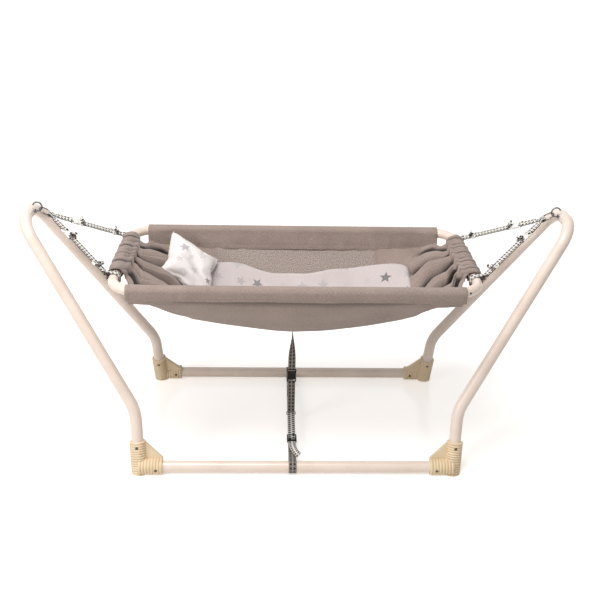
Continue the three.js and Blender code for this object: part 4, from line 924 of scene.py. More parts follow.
def make_screws(screw_tree, steel):
    places, ways, nodes = [], [], []
    for corner, side, depth in CORNERS:
        for tube_name, (place, way) in zip(("leg", "bar"), screw_seats(side, depth)):
            places.append(place + way * SCREW_HEAD_SEAT)
            ways += [*way]
            nodes.append(f"{tube_name}_screw_{corner}")
    points = line_mesh(places)
    points.attributes.new("way", "FLOAT_VECTOR", "POINT").data.foreach_set("vector", ways)
    head = placed("screw pattern", screw_head_mesh())
    mesh = grown_mesh("connector_screws", points, screw_tree, {"Screw": head, "Steel": steel})
    bpy.data.objects.remove(head)
    new_piece("connector_screws", soften_edges(mesh), "stand", steel, *nodes)


def make_hooks(chrome):
    for side_name, side in SIDES.items():
        start = Vector((side * (APEX_HALF_SPAN + HOOK_SHANK_INSIDE), 0, HOOK_SHANK_HEIGHT))
        centre = Vector((side * HOOK_CENTRE_X, 0, HOOK_CENTRE_HEIGHT))
        path, radii = [], []
        shank = abs(start.x) - HOOK_CENTRE_X
        rings = THREAD_TURNS * THREAD_STEPS
        for i in range(rings + 1):
            path.append(start + Vector((-side * shank * i / rings, 0, 0)))
            radii.append(HOOK_WIRE - THREAD_DEPTH * (0.5 - 0.5 * math.cos(2 * math.pi * i / THREAD_STEPS)))
        for i in range(1, BEND_RINGS + 1):
            angle = HOOK_SWEEP * i / BEND_RINGS
            path.append(centre + HOOK_BEND * Vector((-side * math.sin(angle), 0, -math.cos(angle))))
            radii.append(HOOK_WIRE * (1 - 0.25 * smooth_share(i, BEND_RINGS - 3, BEND_RINGS + 1)))
        new_piece(f"hook_wire_{side_name}", facing_out(tube_mesh("hook", path, radii, 20)), "stand", chrome,
                  f"hook_{side_name}")
        face = math.sqrt(TUBE_RADIUS ** 2 - HOOK_RISE ** 2) + NUT_STAND_OFF
        end = face + NUT_LENGTH
        profile = [(NUT_BORE, face), (NUT_FACE, face), (NUT_RADIUS, face + NUT_CHAMFER),
                   (NUT_RADIUS, end - NUT_CHAMFER), (NUT_FACE, end), (NUT_BORE, end), (NUT_BORE, face)]
        seat = aimed(Vector((side * APEX_HALF_SPAN, 0, HOOK_SHANK_HEIGHT)), (-side, 0, 0))
        nut = turned_mesh("nut", profile, 6, seat)
        new_piece(f"hex_nut_{side_name}", soften_edges(facing_out(nut)), "stand", chrome,
                  f"hook_nut_{side_name}")


# Cradle frame

def make_end_tubes(tube_tree, enamel):
    bends = [0, CRADLE_CORNER_RADIUS, CRADLE_CORNER_RADIUS, 0]
    for side_name, side in SIDES.items():
        joint, end = CRADLE_SHIFT + side * CRADLE_JOINT, CRADLE_SHIFT + side * CRADLE_HALF_LENGTH
        corners = [Vector((x, y * CRADLE_HALF_WIDTH, CRADLE_HEIGHT))
                   for x, y in ((joint, -1), (end, -1), (end, 1), (joint, 1))]
        make_tube(f"cradle_end_{side_name}", corners, bends, CRADLE_TUBE_RADIUS, CRADLE_TUBE_SIDES,
                  BEND_STEPS, "cradle", f"end_tube_{side_name}", tube_tree, enamel)
    for depth_name in DEPTHS:
        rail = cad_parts[f"side_rail_{depth_name}"]
        rail.data.materials.clear()
        rail.data.materials.append(enamel)


def make_spring_button(plastic):
    """The button beside the front sleeve's right end, where the end tube starts to bend"""
    reach = SLEEVE_HALF_LENGTH + BUTTON_GAP
    into_bend = reach - (CRADLE_HALF_LENGTH - CRADLE_CORNER_RADIUS)
    aside = CRADLE_CORNER_RADIUS - math.sqrt(CRADLE_CORNER_RADIUS ** 2 - into_bend ** 2)
    place = Vector((CRADLE_SHIFT + reach, aside - CRADLE_HALF_WIDTH, CRADLE_HEIGHT))
    angle = math.asin(into_bend / CRADLE_CORNER_RADIUS)
    way = Vector((math.sin(angle), -math.cos(angle), 0.15)).normalized()
    profile = [(radius * MM, height * MM) for radius, height in BUTTON_PROFILE]
    dot = facing_out(turned_mesh("spring button", profile, 24, aimed(place, way)))
    new_piece("spring_button", dot, "cradle", plastic)


# Webbing

class StrapLine:
    """One strap's line from its ring to the end tube, with its own directions"""

    def __init__(self, side, depth):
        hook = Vector((side * HOOK_CENTRE_X, 0, HOOK_CENTRE_HEIGHT))
        tube = Vector((CRADLE_SHIFT + side * CRADLE_HALF_LENGTH, depth * STRAP_HALF_SPREAD, CRADLE_HEIGHT))
        self.pull = (Vector((tube.x, 0, tube.z)) - hook).normalized()
        self.ring = hook + self.pull * (HOOK_BEND - HOOK_WIRE - RING_WIRE - RING_GAP + RING_RADIUS)
        self.aside = depth * BUNCHED_CENTRE
        self.start = self.ring + self.pull * BUNCHED_LENGTH
        self.start.y = self.aside
        self.settled = tube - self.pull * SETTLE_LENGTH
        run = self.settled - self.start
        self.along = run.normalized()
        self.normal = self.pull.cross(Vector((0, 1, 0)))
        if self.normal.z < 0:
            self.normal.negate()
        self.tube_way = self.normal.cross(self.pull)
        self.square_way = self.normal.cross(self.along)
        self.settle_start = BUNCHED_LENGTH + run.length
        self.length = self.settle_start + SETTLE_LENGTH

    def point(self, distance):
        if distance > self.settle_start:
            return self.settled + self.pull * (distance - self.settle_start)
        if distance > BUNCHED_LENGTH:
            return self.start + self.along * (distance - BUNCHED_LENGTH)
        place = self.ring + self.pull * distance
        place.y = self.aside
        return place

    def width(self, distance):
        opened = smooth_share(distance, BUNCHED_LENGTH, SPREAD_LENGTH)
        turned = min(1.0, max(0.0, (distance - self.settle_start) / TURN_LENGTH))
        square = between(self.tube_way * BUNCHED_WIDTH, self.square_way * WEBBING_WIDTH, opened)
        return between(square, self.tube_way * WEBBING_WIDTH, turned)

    def matrix(self, distance):
        turn = Matrix((self.along, self.square_way, self.normal)).transposed().to_4x4()
        return Matrix.Translation(self.point(distance)) @ turn


def eye_arc(centre, radius, facing, steps=16, opening=math.pi / 3):
    points = []
    for i in range(steps + 1):
        angle = opening + (2 * math.pi - 2 * opening) * i / steps
        points.append((centre + facing * radius * math.cos(angle), facing * radius * math.sin(angle)))
    return points


class Webbing:
    """Strips of strap gathered into one mesh, each with its cloth map: across, then metres along"""

    def __init__(self, name):
        self.name = name
        self.points, self.faces, self.maps = [], [], []

    def strip(self, stations, closed=False, thickness=WEBBING_LAYER):
        """stations are (middle, width vector, outward vector, whether the outer face is the dark one)"""
        across = 4
        base = len(self.points)
        count = len(stations)
        row = 2 * (across + 1)
        middles = [station[0] for station in stations]
        lengths = walked(middles + middles[:1] if closed else middles)
        for middle, width, outward, _ in stations:
            for face in (1, -1):
                for j in range(across + 1):
                    bulge = 1 - 0.35 * abs(2 * j / across - 1) ** 6
                    rise = outward * face * thickness / 2 * bulge
                    self.points.append(middle + width * (j / across - 0.5) + rise)

        def quad(corners, spots):
            self.faces.append(tuple(corners))
            self.maps.append(spots)

        for i in range(count if closed else count - 1):
            here, there = base + i * row, base + ((i + 1) % count) * row
            dark = stations[i][3]
            low, high = lengths[i], lengths[i + 1]
            for j in range(across):
                near, far = j / across, (j + 1) / across
                outer = 2 if dark else 0
                quad((here + j, here + j + 1, there + j + 1, there + j),
                     ((outer + near, low), (outer + far, low), (outer + far, high), (outer + near, high)))
                inner, step = 2 - outer, across + 1
                quad((here + step + j + 1, here + step + j, there + step + j, there + step + j + 1),
                     ((inner + far, low), (inner + near, low), (inner + near, high), (inner + far, high)))
            for j, flip in ((0, True), (across, False)):
                corners = [here + j, here + across + 1 + j, there + across + 1 + j, there + j]
                spot = (2 + j / across, low)
                quad(corners[::-1] if flip else corners, (spot, spot, spot, spot))
        if not closed:
            for i in (0, count - 1):
                at = base + i * row
                for j in range(across):
                    corners = [at + j, at + j + 1, at + across + 2 + j, at + across + 1 + j]
                    quad(corners if i else corners[::-1], ((2.5, 0),) * 4)

    def outline(self, line, flat, closed, is_dark):
        """Bends a flat (distance, height) line onto a strap's own line"""
        stations = []
        for i, (distance, height) in enumerate(flat):
            before, after = neighbours(flat, i, closed)
            ahead = Vector((after[0] - before[0], after[1] - before[1])).normalized()
            outward = line.along * ahead.y * -1 + line.normal * ahead.x
            if closed:
                outward.negate()
            stations.append((line.point(distance) + line.normal * height, line.width(distance), outward,
                             is_dark(height)))
        self.strip(stations, closed)

    def mesh(self):
        mesh = mesh_of(self.name, self.points, self.faces)
        lay_cloth_map(mesh, [c for spots in self.maps for spot in spots for c in spot])
        return soften_edges(facing_out(mesh, merged=False), math.radians(50))


def spaced(first, last, step):
    count = max(1, round(abs(last - first) / step))
    return [between(first, last, i / count) for i in range(count + 1)]


def upper_strap_loop():
    """The closed line of the doubled strap from its ring to the buckle's bar"""
    half = (WEBBING_LAYER + LAYER_GAP) / 2
    eye = RING_EYE + WEBBING_LAYER / 2
    bar = BUCKLE_START + BUCKLE_BAR
    near, far, neck = 10.2 * MM, 16 * MM, 23 * MM
    run = spaced(neck, bar - EYE_NECK, STRAP_STEP)
    return ([(far, eye)] + eye_arc(near, eye, 1, 18, math.pi / 2) + [(far, -eye)] + [(d, -half) for d in run]
            + eye_arc(bar, BAR_EYE + WEBBING_LAYER / 2, -1) + [(d, half) for d in reversed(run)])


def lower_strap_loop(line):
    """The closed line of the doubled strap from the buckle's bar to the end tube"""
    half = (WEBBING_LAYER + LAYER_GAP) / 2
    bar = BUCKLE_END - BUCKLE_BAR
    tube = CRADLE_TUBE_RADIUS + TUBE_GAP + WEBBING_LAYER / 2
    run = spaced(bar + EYE_NECK, line.length - TUBE_NECK, STRAP_STEP)
    return (eye_arc(bar, BAR_EYE + WEBBING_LAYER / 2, 1) + [(d, -half) for d in run]
            + eye_arc(line.length, tube, -1, 28) + [(d, half) for d in reversed(run)])


def sew(name, lines, sizes, thread, stitch_tree):
    """Rows of stitches along lines; the sizes are their pitch, length and thread radius in mm"""
    titles = ("Stitch Pitch", "Stitch Length", "Thread Radius")
    values = {**{title: size * MM for title, size in zip(titles, sizes)}, "Thread": thread}
    rows = [grown_mesh("stitches", line_mesh(points), stitch_tree, values) for points in lines]
    new_piece(name, gathered_mesh(name, rows), "cradle", thread)


def make_straps(webbing, thread, stitch_tree):
    for corner, side, depth in CORNERS:
        line = StrapLine(side, depth)
        upper, lower = Webbing(f"ring_strap_{corner}"), Webbing(f"cradle_strap_{corner}")
        end = Webbing(f"slider_strap_end_{corner}")
        upper.outline(line, upper_strap_loop(), True, lambda height: height < 0)
        lower.outline(line, lower_strap_loop(line), True, lambda height: height < 0)
        lower.outline(line, [(d * MM, h * MM) for d, h in STRAP_CURL], False, lambda height: False)
        slider = line.length * SLIDER_SHARE
        end.outline(line, [(slider + d * MM, h * MM) for d, h in STRAP_END], False, lambda height: True)
        new_piece(upper.name, upper.mesh(), "cradle", webbing, f"upper_strap_{corner}")
        new_piece(lower.name, lower.mesh(), "cradle", webbing, f"lower_strap_{corner}")
        new_piece(end.name, end.mesh(), f"strap_slider_{corner}", webbing)
        rows = []
        for distance in (27 * MM, 64 * MM, 116 * MM, line.length - LAST_STITCH_ROW):
            wide = line.width(distance) * STITCHED_SHARE
            lift = line.normal * (WEBBING_LAYER + STITCH_LIFT)
            rows.append([line.point(distance) - wide + lift, line.point(distance) + wide + lift])
        sew(f"strap_stitches_{corner}", rows, STRAP_STITCHES, thread, stitch_tree)


def gathered_mesh(name, meshes):
    """Several meshes as one, their cloth maps kept"""
    work = bmesh.new()
    for mesh in meshes:
        work.from_mesh(mesh)
    whole = bpy.data.meshes.new(name)
    work.to_mesh(whole)
    work.free()
    return whole


def make_rings(chrome):
    for side_name, side in SIDES.items():
        line = StrapLine(side, -1)
        path = []
        for i in range(RING_STEPS):
            angle = 2 * math.pi * i / RING_STEPS
            arm = math.cos(angle) * line.pull + math.sin(angle) * line.tube_way
            path.append(line.ring + RING_RADIUS * arm)
        ring = facing_out(tube_mesh("ring", path, RING_WIRE, 20, True))
        new_piece(f"steel_ring_{side_name}", ring, "cradle", chrome, f"ring_{side_name}")


# Buckles and sliders

LOFT_POWER = 3.2


def loft_mesh(name, sections, lip=0, steps=32):
    """A closed rounded bar along x, its ends rounded by a lip

    The sections and the lip are in mm, a section as x, half width, half thickness, y and z.
    """
    sections = [tuple(value * MM for value in section) for section in sections]
    if lip:
        sections = rounded_ends(sections, lip * MM)
    points = []
    for x, wide, thick, y, z in sections:
        for k in range(steps):
            angle = 2 * math.pi * k / steps
            c, s = math.cos(angle), math.sin(angle)
            points.append(Vector((x, y + wide * math.copysign(abs(c) ** (2 / LOFT_POWER), c),
                                  z + thick * math.copysign(abs(s) ** (2 / LOFT_POWER), s))))
    faces = []
    for i in range(len(sections) - 1):
        for k in range(steps):
            a, b = i * steps + k, i * steps + (k + 1) % steps
            faces.append((a, b, b + steps, a + steps))
    faces.append(tuple(range(steps)))
    faces.append(tuple((len(sections) - 1) * steps + k for k in range(steps)))
    return facing_out(mesh_of(name, points, faces))


def rounded_ends(sections, reach):
    """Adds a small rounded lip before the first section and after the last"""
    (x0, w0, t0, y0, z0), (x1, w1, t1, y1, z1) = sections[0], sections[-1]
    way = math.copysign(1, x1 - x0)
    step = reach * 0.3
    first = [(x0, w0 - reach, t0 - reach, y0, z0), (x0 + way * reach * 0.3, w0 - step, t0 - step, y0, z0)]
    last = [(x1 - way * reach * 0.3, w1 - step, t1 - step, y1, z1), (x1, w1 - reach, t1 - reach, y1, z1)]
    body = [(x0 + way * reach, w0, t0, y0, z0), *sections[1:-1], (x1 - way * reach, w1, t1, y1, z1)]
    return first + body + last


def bar_end_solids(facing, width):
    """The bar that webbing goes round and the two arms that hold it, in mm from the buckle's end"""
    arm = width / 2 - 1.25
    bar = rod_between(Vector((facing * BUCKLE_BAR, -arm * MM, 0)), Vector((facing * BUCKLE_BAR, arm * MM, 0)),
                      BUCKLE_BAR, 16)
    return [bar] + [loft_mesh("arm", [(0, 1.25, 1.5, y, 0), (facing * 5, 1.25, 1.7, y, 0),
                                      (facing * 10, 1.25, 2.4, y, 0)], 0.4, 20) for y in (-arm, arm)]


def socket_half_mesh(length, width, thickness):
    """The buckle's socket: a rounded shell, open towards the plug, with a window at each side"""
    start = 7.6
    wide, thick = width / 2, thickness / 2
    shell = loft_mesh("shell", [
        (start, wide - 0.6, thick - 0.9, 0, 0), (start + 3, wide, thick - 0.1, 0, 0),
        (length - 5, wide - 0.4, thick, 0, 0), (length, wide - 1.1, thick - 0.2, 0, 0)], 0.8)
    mouth = box_mesh("mouth", Vector((start + 4, 2.6 - wide, 1.7 - thick)) * MM,
                     Vector((length + 2, wide - 2.6, thick - 1.7)) * MM, 0.5 * MM, 2)
    windows = [box_mesh("window", Vector((start + 3.4, low, -1.7)) * MM,
                        Vector((length - 3.2, high, 1.7)) * MM, 0.6 * MM, 2)
               for low, high in ((wide - 3.4, wide + 2), (-wide - 2, 3.4 - wide))]
    return soften_edges(carved("socket half", shell, [mouth, *windows], bar_end_solids(1, width)))


def plug_half_mesh(length, width, thickness):
    """The buckle's plug: a rounded base with a guide and two springy arms that reach into the socket"""
    wide, thick = width / 2, thickness / 2
    base = loft_mesh("base", [
        (-7.6, wide - 0.4, thick - 0.9, 0, 0), (-9.6, wide - 0.1, thick - 0.2, 0, 0),
        (-length, wide - 1.0, thick - 0.1, 0, 0)], 0.7)
    guide = loft_mesh("guide", [(-length + 1, 1.4, 1.2, 0, 0), (-length - 8, 1.0, 1.0, 0, 0)], 0, 16)
    fingers = [loft_mesh("finger", [
        (-length + 1, 1.0, 1.3, way * (wide - 3.4), 0), (-length - 4, 1.0, 1.3, way * (wide - 2.3), 0),
        (-length - 8, 1.2, 1.3, way * (wide - 2.1), 0), (-length - 9, 0.6, 1.0, way * (wide - 3.4), 0)],
        0, 16) for way in (-1, 1)]
    return soften_edges(carved("plug half", base, (), [*bar_end_solids(-1, width), guide, *fingers]))


def slider_mesh():
    """Two rounded rails, with bars over the strap at both ends and one under its middle"""
    rails = [loft_mesh("rail", [(-5.5, 1.0, 2.6, y, 0), (0, 1.1, 2.8, y, 0), (5.5, 1.0, 2.6, y, 0)], 0.5, 20)
             for y in (-11.3, 11.3)]
    bars = [rod_between(Vector((x, -11.4, z)) * MM, Vector((x, 11.4, z)) * MM, 0.72 * MM, 14)
            for x, z in ((-4.5, 2.15), (4.5, 2.15), (0, -2.15))]
    return soften_edges(carved("slider", rails[0], (), [rails[1], *bars]))


def make_strap_fittings(white):
    socket = socket_half_mesh(21, BUCKLE_WIDTH, BUCKLE_THICKNESS)
    plug = plug_half_mesh(12.65, BUCKLE_WIDTH, BUCKLE_THICKNESS)
    slider = slider_mesh()
    for corner, side, depth in CORNERS:
        line = StrapLine(side, depth)
        for name, shape, distance, body, node in (
                ("buckle_socket", socket, BUCKLE_START, "cradle", "buckle_female"),
                ("buckle_plug", plug, BUCKLE_END, "cradle", "buckle_male"),
                ("webbing_slider", slider, line.length * SLIDER_SHARE, f"strap_slider_{corner}",
                 "strap_slider")):
            mesh = moved(shape, line.matrix(distance))
            new_piece(f"{name}_{corner}", mesh, body, white, f"{node}_{corner}")


# Cloth

BED_HALF_LENGTH = 418 * MM
BED_HALF_WIDTH = 209 * MM
BED_CORNER_RADIUS = 70 * MM
BED_EDGE_DROP = 22.85 * MM
BED_END_DROP = 8 * MM
BELLY_DEPTH = 195 * MM
BELLY_HALF_LENGTH = 420 * MM
BED_ROWS = 220
BED_THICKNESS = 1.4 * MM


def bed_half_width(reach):
    past = max(0.0, reach - (BED_HALF_LENGTH - BED_CORNER_RADIUS))
    rest = math.sqrt(max(0.0, BED_CORNER_RADIUS ** 2 - past ** 2))
    return BED_HALF_WIDTH - (BED_CORNER_RADIUS - rest) * CRADLE_CORNER_RADIUS / BED_CORNER_RADIUS


def bed_height(x, y):
    """The hanging cloth's smooth height at a place from the cradle's middle"""
    reach = min(abs(x), BED_HALF_LENGTH)
    across = min(1.0, abs(y) / bed_half_width(reach))
    out = reach / BELLY_HALF_LENGTH
    hang = BELLY_DEPTH * (1 - 0.4 * out ** 1.4) * math.sqrt(1 - out ** 8)
    edge = between(BED_EDGE_DROP, BED_END_DROP, smooth_share(reach, SLEEVE_HALF_LENGTH, BED_HALF_LENGTH))
    return CRADLE_HEIGHT - edge - max(0.0, hang - edge) * (1 - across ** 2)


# Each end's deep folds: how many, where the first starts, how far they lean to the rear over how long, and
# where they begin and end to sink into the bed
END_FOLDS = {-1: (4.4, 0.22, 0.34, 150 * MM, 75 * MM, 165 * MM),
             1: (5.2, 0.55, 0.34, 165 * MM, 48 * MM, 114 * MM)}
FOLD_HEIGHT = 15 * MM
RAMP_SLOPE = 0.6
PLEAT_HEIGHT = 11 * MM
FOLD_TILT = 9 * MM


def fold_turns(side, across, inward):
    """The count of folds passed by this place across the cloth"""
    count, start, lean, reach = END_FOLDS[side][:4]
    place = across - lean * smooth_share(inward, 0, reach)
    waver = noise.noise(Vector((place * 1.9, inward * 6, side * 7.3)))
    return start + count * (place + 1) / 2 + 0.45 * waver


def gathers(side, across, inward):
    """How far the bunched cloth stands out, how deep it folds in there, and its finer pleats by the tube"""
    turns = fold_turns(side, across, inward)
    uneven = 1 + 0.7 * noise.noise(Vector((across * 4.3, inward * 14, side * 3.1)))
    crest = abs(math.sin(math.pi * turns)) ** 1.1
    fold = crest - 0.5
    pleat = abs(math.sin(2 * math.pi * turns + 0.5)) ** 0.8 - 0.5
    sink_start, sink_end = END_FOLDS[side][4:]
    ramp = CRADLE_HEIGHT - BED_END_DROP - RAMP_SLOPE * inward
    bed_place = BED_HALF_LENGTH - inward
    room = max(0.0, ramp - bed_height(bed_place, across * bed_half_width(bed_place)))
    edge = 1 - abs(across) ** 10
    sinking = 1 - smooth_share(inward, 0.7 * sink_start, sink_end)
    deep = smooth_share(inward, -10 * MM, 45 * MM) * sinking * edge * uneven
    fine = (1 - smooth_share(inward, 15 * MM, 95 * MM)) * edge
    filling = (1 - smooth_share(inward, sink_start, sink_end)) * edge
    rolled = min(1.0, 1.25 * crest)
    hollow = (1 - rolled) * min(1.0, room / (16 * MM)) * filling + max(0.0, -fold) * deep
    lift = room * rolled * filling + FOLD_HEIGHT * fold * deep + PLEAT_HEIGHT * pleat * fine
    return lift, hollow, pleat * fine


def painted_valley_shade(column, across):
    """How deep in a fold a place lies, from 0 on the open cloth to 1: the share of painted shade that the
    cloth gets there
    """
    kind, place, share = column
    if kind == "roll":
        turn = between(ROLL_START, ROLL_END, share)
        turns = fold_turns(place, across + 0.11 * math.sin(turn) + 0.03 * turn, 0)
        depth = 1 - abs(math.sin(2 * math.pi * turns + 0.5)) ** 0.8
        return 0.9 * smooth_share(depth, 0.25, 0.9)
    _, hollow, pleat = gathers(-1 if place < 0 else 1, across, BED_HALF_LENGTH - abs(place))
    return 0.95 * smooth_share(hollow - 0.8 * min(0.0, pleat), 0.1, 0.62)


def bed_columns():
    """The cloth's stations from one end tube to the other: ("roll", side, share) or ("bed", x)"""
    roll_steps, bed_steps = 20, 150
    columns = [("roll", -1, i / roll_steps) for i in range(roll_steps)]
    for i in range(bed_steps + 1):
        columns.append(("bed", BED_HALF_LENGTH * math.sin(math.pi / 2 * (2 * i / bed_steps - 1)), 0))
    columns += [("roll", 1, 1 - (i + 1) / roll_steps) for i in range(roll_steps)]
    return columns


ROLL_FRONT = -119 * MM
ROLL_REAR = 143 * MM
ROLL_START = math.radians(338)
ROLL_END = math.radians(-18)


def bed_point(column, across):
    kind, place, share = column
    if kind == "roll":
        side = place
        turn = between(ROLL_START, ROLL_END, share)
        twist = 0.11 * math.sin(turn) + 0.03 * turn
        turns = fold_turns(side, across + twist, 0)
        pleat = abs(math.sin(2 * math.pi * turns + 0.5)) ** 0.8
        bunch = 0.5 * abs(math.sin(math.pi * turns)) ** 0.7 + 0.5 * pleat
        radius = CRADLE_TUBE_RADIUS + 1.6 * MM + 8.8 * MM * bunch * smooth_share(share, 0, 0.12)
        flatten = smooth_share(share, 0.84, 1.0)
        y = between(ROLL_FRONT, ROLL_REAR, (across + 1) / 2)
        middle = Vector((CRADLE_SHIFT + side * CRADLE_HALF_LENGTH, y, CRADLE_HEIGHT))
        arm = Vector((-side * math.cos(turn), 0, math.sin(turn)))
        lift = gathers(side, across, 0)[0] * flatten
        return middle + arm * between(radius, 24.5 * MM, flatten) + Vector((-side * 0.5, 0, 0.87)) * lift
    side = -1 if place < 0 else 1
    reach = abs(place)
    y_end = between(ROLL_FRONT, ROLL_REAR, (across + 1) / 2)
    narrowed = smooth_share(reach, BED_HALF_LENGTH - 26 * MM, BED_HALF_LENGTH)
    y = between(across * bed_half_width(reach), y_end, narrowed)
    inward = BED_HALF_LENGTH - reach
    lift, hollow, _ = gathers(side, across, inward)
    y += FOLD_TILT * hollow
    ripple = noise.noise(Vector((place * 9, y * 16, 3.7))) * 1.8 * MM
    sag = noise.noise(Vector((place * 3.3, y * 5.5, 9.1))) * 3.5 * MM
    crease = max(0.0, noise.noise(Vector((place * 4 + y * 9, y * 14 - place * 5, 6.1)))) ** 2 * 6 * MM
    calm = (1 - across ** 6) * smooth_share(inward, 0, 60 * MM)
    height = bed_height(place, across * bed_half_width(reach)) + (ripple + sag + crease) * calm
    lean = min(lift, FOLD_HEIGHT)
    return Vector((CRADLE_SHIFT + place - side * lean * 0.5, y, height + lift - 0.13 * lean))


HEATHER_LEFT = -225 * MM
HEATHER_RIGHT = 222 * MM
# Shares of the way from the bed's middle out to its side
HEATHER_FOOT = 0.3
HEATHER_SEAM = 0.34
HEATHER_SEAM_TOP = 0.99
CORNER_SEAM = ((372 * MM, 0.97), (235 * MM, 0.3))  # from and to, as metres along and share across
BED_STITCHES = (3.4, 2.7, 0.35)


def make_bed(cloth, outside):
    columns = bed_columns()
    places = [(column, 2 * j / BED_ROWS - 1) for column in columns for j in range(BED_ROWS + 1)]
    points = [bed_point(column, across) for column, across in places]
    mesh = mesh_of("cradle_cloth", points, grid_faces(len(columns) - 1, BED_ROWS))
    row = BED_ROWS + 1
    half = (len(columns) // 2) * row
    stations, widths = walked(points[row // 2::row]), walked(points[half:half + row])
    spots = []
    for loop in mesh.loops:
        i, j = divmod(loop.vertex_index, row)
        spots += [stations[i], widths[j]]
    lay_cloth_map(mesh, spots)
    # Painted shade in the folds' valleys, deepest in the hollows and between the pleats by the tube
    mark_points(mesh, "painted_fold_shade", [painted_valley_shade(column, across) for column, across in places])
    # Painted shade on the outside cloth, close under the sleeves
    mark_points(mesh, "painted_sleeve_shade", [0.8 * smooth_share(abs(across), 0.9, 1) if column[0] == "bed" else 0.0
                                 for column, across in places])
    mark_points(mesh, "heather", [float(HEATHER_LEFT < point.x < HEATHER_RIGHT and column[0] == "bed"
                                        and across > HEATHER_FOOT)
                                  for (column, across), point in zip(places, points)])
    piece = new_piece("cradle_cloth", mesh, "cradle", cloth, "fabric_bed", "gathered_end_left",
                      "gathered_end_right")
    mesh.materials.append(outside)
    thicken(piece, BED_THICKNESS).material_offset = 1


def bed_surface_line(first, last, count=40, lift=0.6 * MM, under=False):
    """Points on the cloth between two (x, across) places, just proud of it"""
    points = []
    for i in range(count + 1):
        x = between(first[0], last[0], i / count)
        across = between(first[1], last[1], i / count)
        place = bed_point(("bed", x, 0), across)
        near = (bed_point(("bed", x, 0), min(1.0, across + 0.01))
                - bed_point(("bed", x, 0), max(-1.0, across - 0.01)))
        normal = Vector((0, -near.z, near.y)).normalized()
        points.append(place + normal * (-(lift + BED_THICKNESS) if under else lift))
    return points


def make_bed_seams(stitch_tree, thread):
    lines = []
    low, high = HEATHER_LEFT - CRADLE_SHIFT, HEATHER_RIGHT - CRADLE_SHIFT
    for depth in (-1, 1):
        foot, top = depth * HEATHER_SEAM, depth * HEATHER_SEAM_TOP
        for x in (low, high):
            for offset in (-3 * MM, 3 * MM):
                lines.append(bed_surface_line((x + offset, foot), (x + offset, top)))
        lines.append(bed_surface_line((low, foot), (high, foot), 90))
        for side in (-1, 1):
            start, stop = ((side * x, depth * across) for x, across in CORNER_SEAM)
            lines.append(bed_surface_line(start, stop, 60))
            lines.append(bed_surface_line(start, stop, 60, under=True))
    sew("bed_seam_stitches", lines, BED_STITCHES, thread, stitch_tree)


SLEEVE_SKIN = 14.3 * MM
SLEEVE_OUTER_DROP = 22 * MM
SLEEVE_LIP_IN = 21 * MM
SLEEVE_END_SLACK = 7.4 * MM
SLEEVE_LIP_DROP = 48.5 * MM
SLEEVE_THICKNESS = 1.2 * MM
SLEEVE_COLUMNS = 220
# Each long seam's place in the outline and the way that its stitches stand out
SLEEVE_SEAMS = ((2, -1), (5, -1), (36, 1))
SLEEVE_SEAM_STEPS = 120
SLEEVE_STITCHES = (3.4, 2.6, 0.3)


def sleeve_outline():
    """The pocket's outline round its rail as (outward, height), from the lip inside over the rail and back"""
    line = []
    for i in range(15):
        share = i / 15
        line.append((between(-SLEEVE_LIP_IN, -SLEEVE_SKIN, share ** 0.8), -SLEEVE_LIP_DROP * (1 - share)))
    for i in range(17):
        angle = math.pi * i / 16
        line.append((-SLEEVE_SKIN * math.cos(angle), SLEEVE_SKIN * math.sin(angle)))
    line += [(between(SLEEVE_SKIN, 13 * MM, i / 7), between(0, -SLEEVE_OUTER_DROP + 3 * MM, i / 7))
             for i in range(1, 8)]
    line += [(12.4 * MM, -SLEEVE_OUTER_DROP + 0.6 * MM), (10.5 * MM, -SLEEVE_OUTER_DROP - 0.4 * MM)]
    line += [(between(8 * MM, -1 * MM, i / 3), -SLEEVE_OUTER_DROP + 1.4 * MM * i / 3) for i in range(4)]
    for i in range(1, 10):
        out = between(-2 * MM, -SLEEVE_LIP_IN + 1.5 * MM, i / 9)
        line.append((out, bed_height(0, CRADLE_HALF_WIDTH + out) - CRADLE_HEIGHT + 1.4 * MM))
    return line


def sleeve_section(depth, k, x, outline):
    """One point of a sleeve: y from the rail's axis and height, its walls creased and waved"""
    out, z = outline[k % len(outline)]
    if out < 0:
        out -= SLEEVE_END_SLACK * smooth_share(abs(x), 330 * MM, 392 * MM) * min(1.0, -out / SLEEVE_SKIN)
    loose = smooth_share(-z, -2 * MM, 24 * MM)
    wave = noise.noise(Vector((x * 7, depth * 2.3, 0.4)))
    crease = noise.noise(Vector((x * 17 + z * 9, z * 14, depth * 5)))
    ripple = noise.noise(Vector((x * 55, z * 22, depth * 9)))
    push = (3.4 * crease + 1.4 * ripple) * MM * loose
    tight = -0.4 * MM * abs(ripple) * (1 - loose)
    return depth * (out + abs(push + tight) * (1 if out > 0 else -1)), z + 2.2 * MM * wave * loose


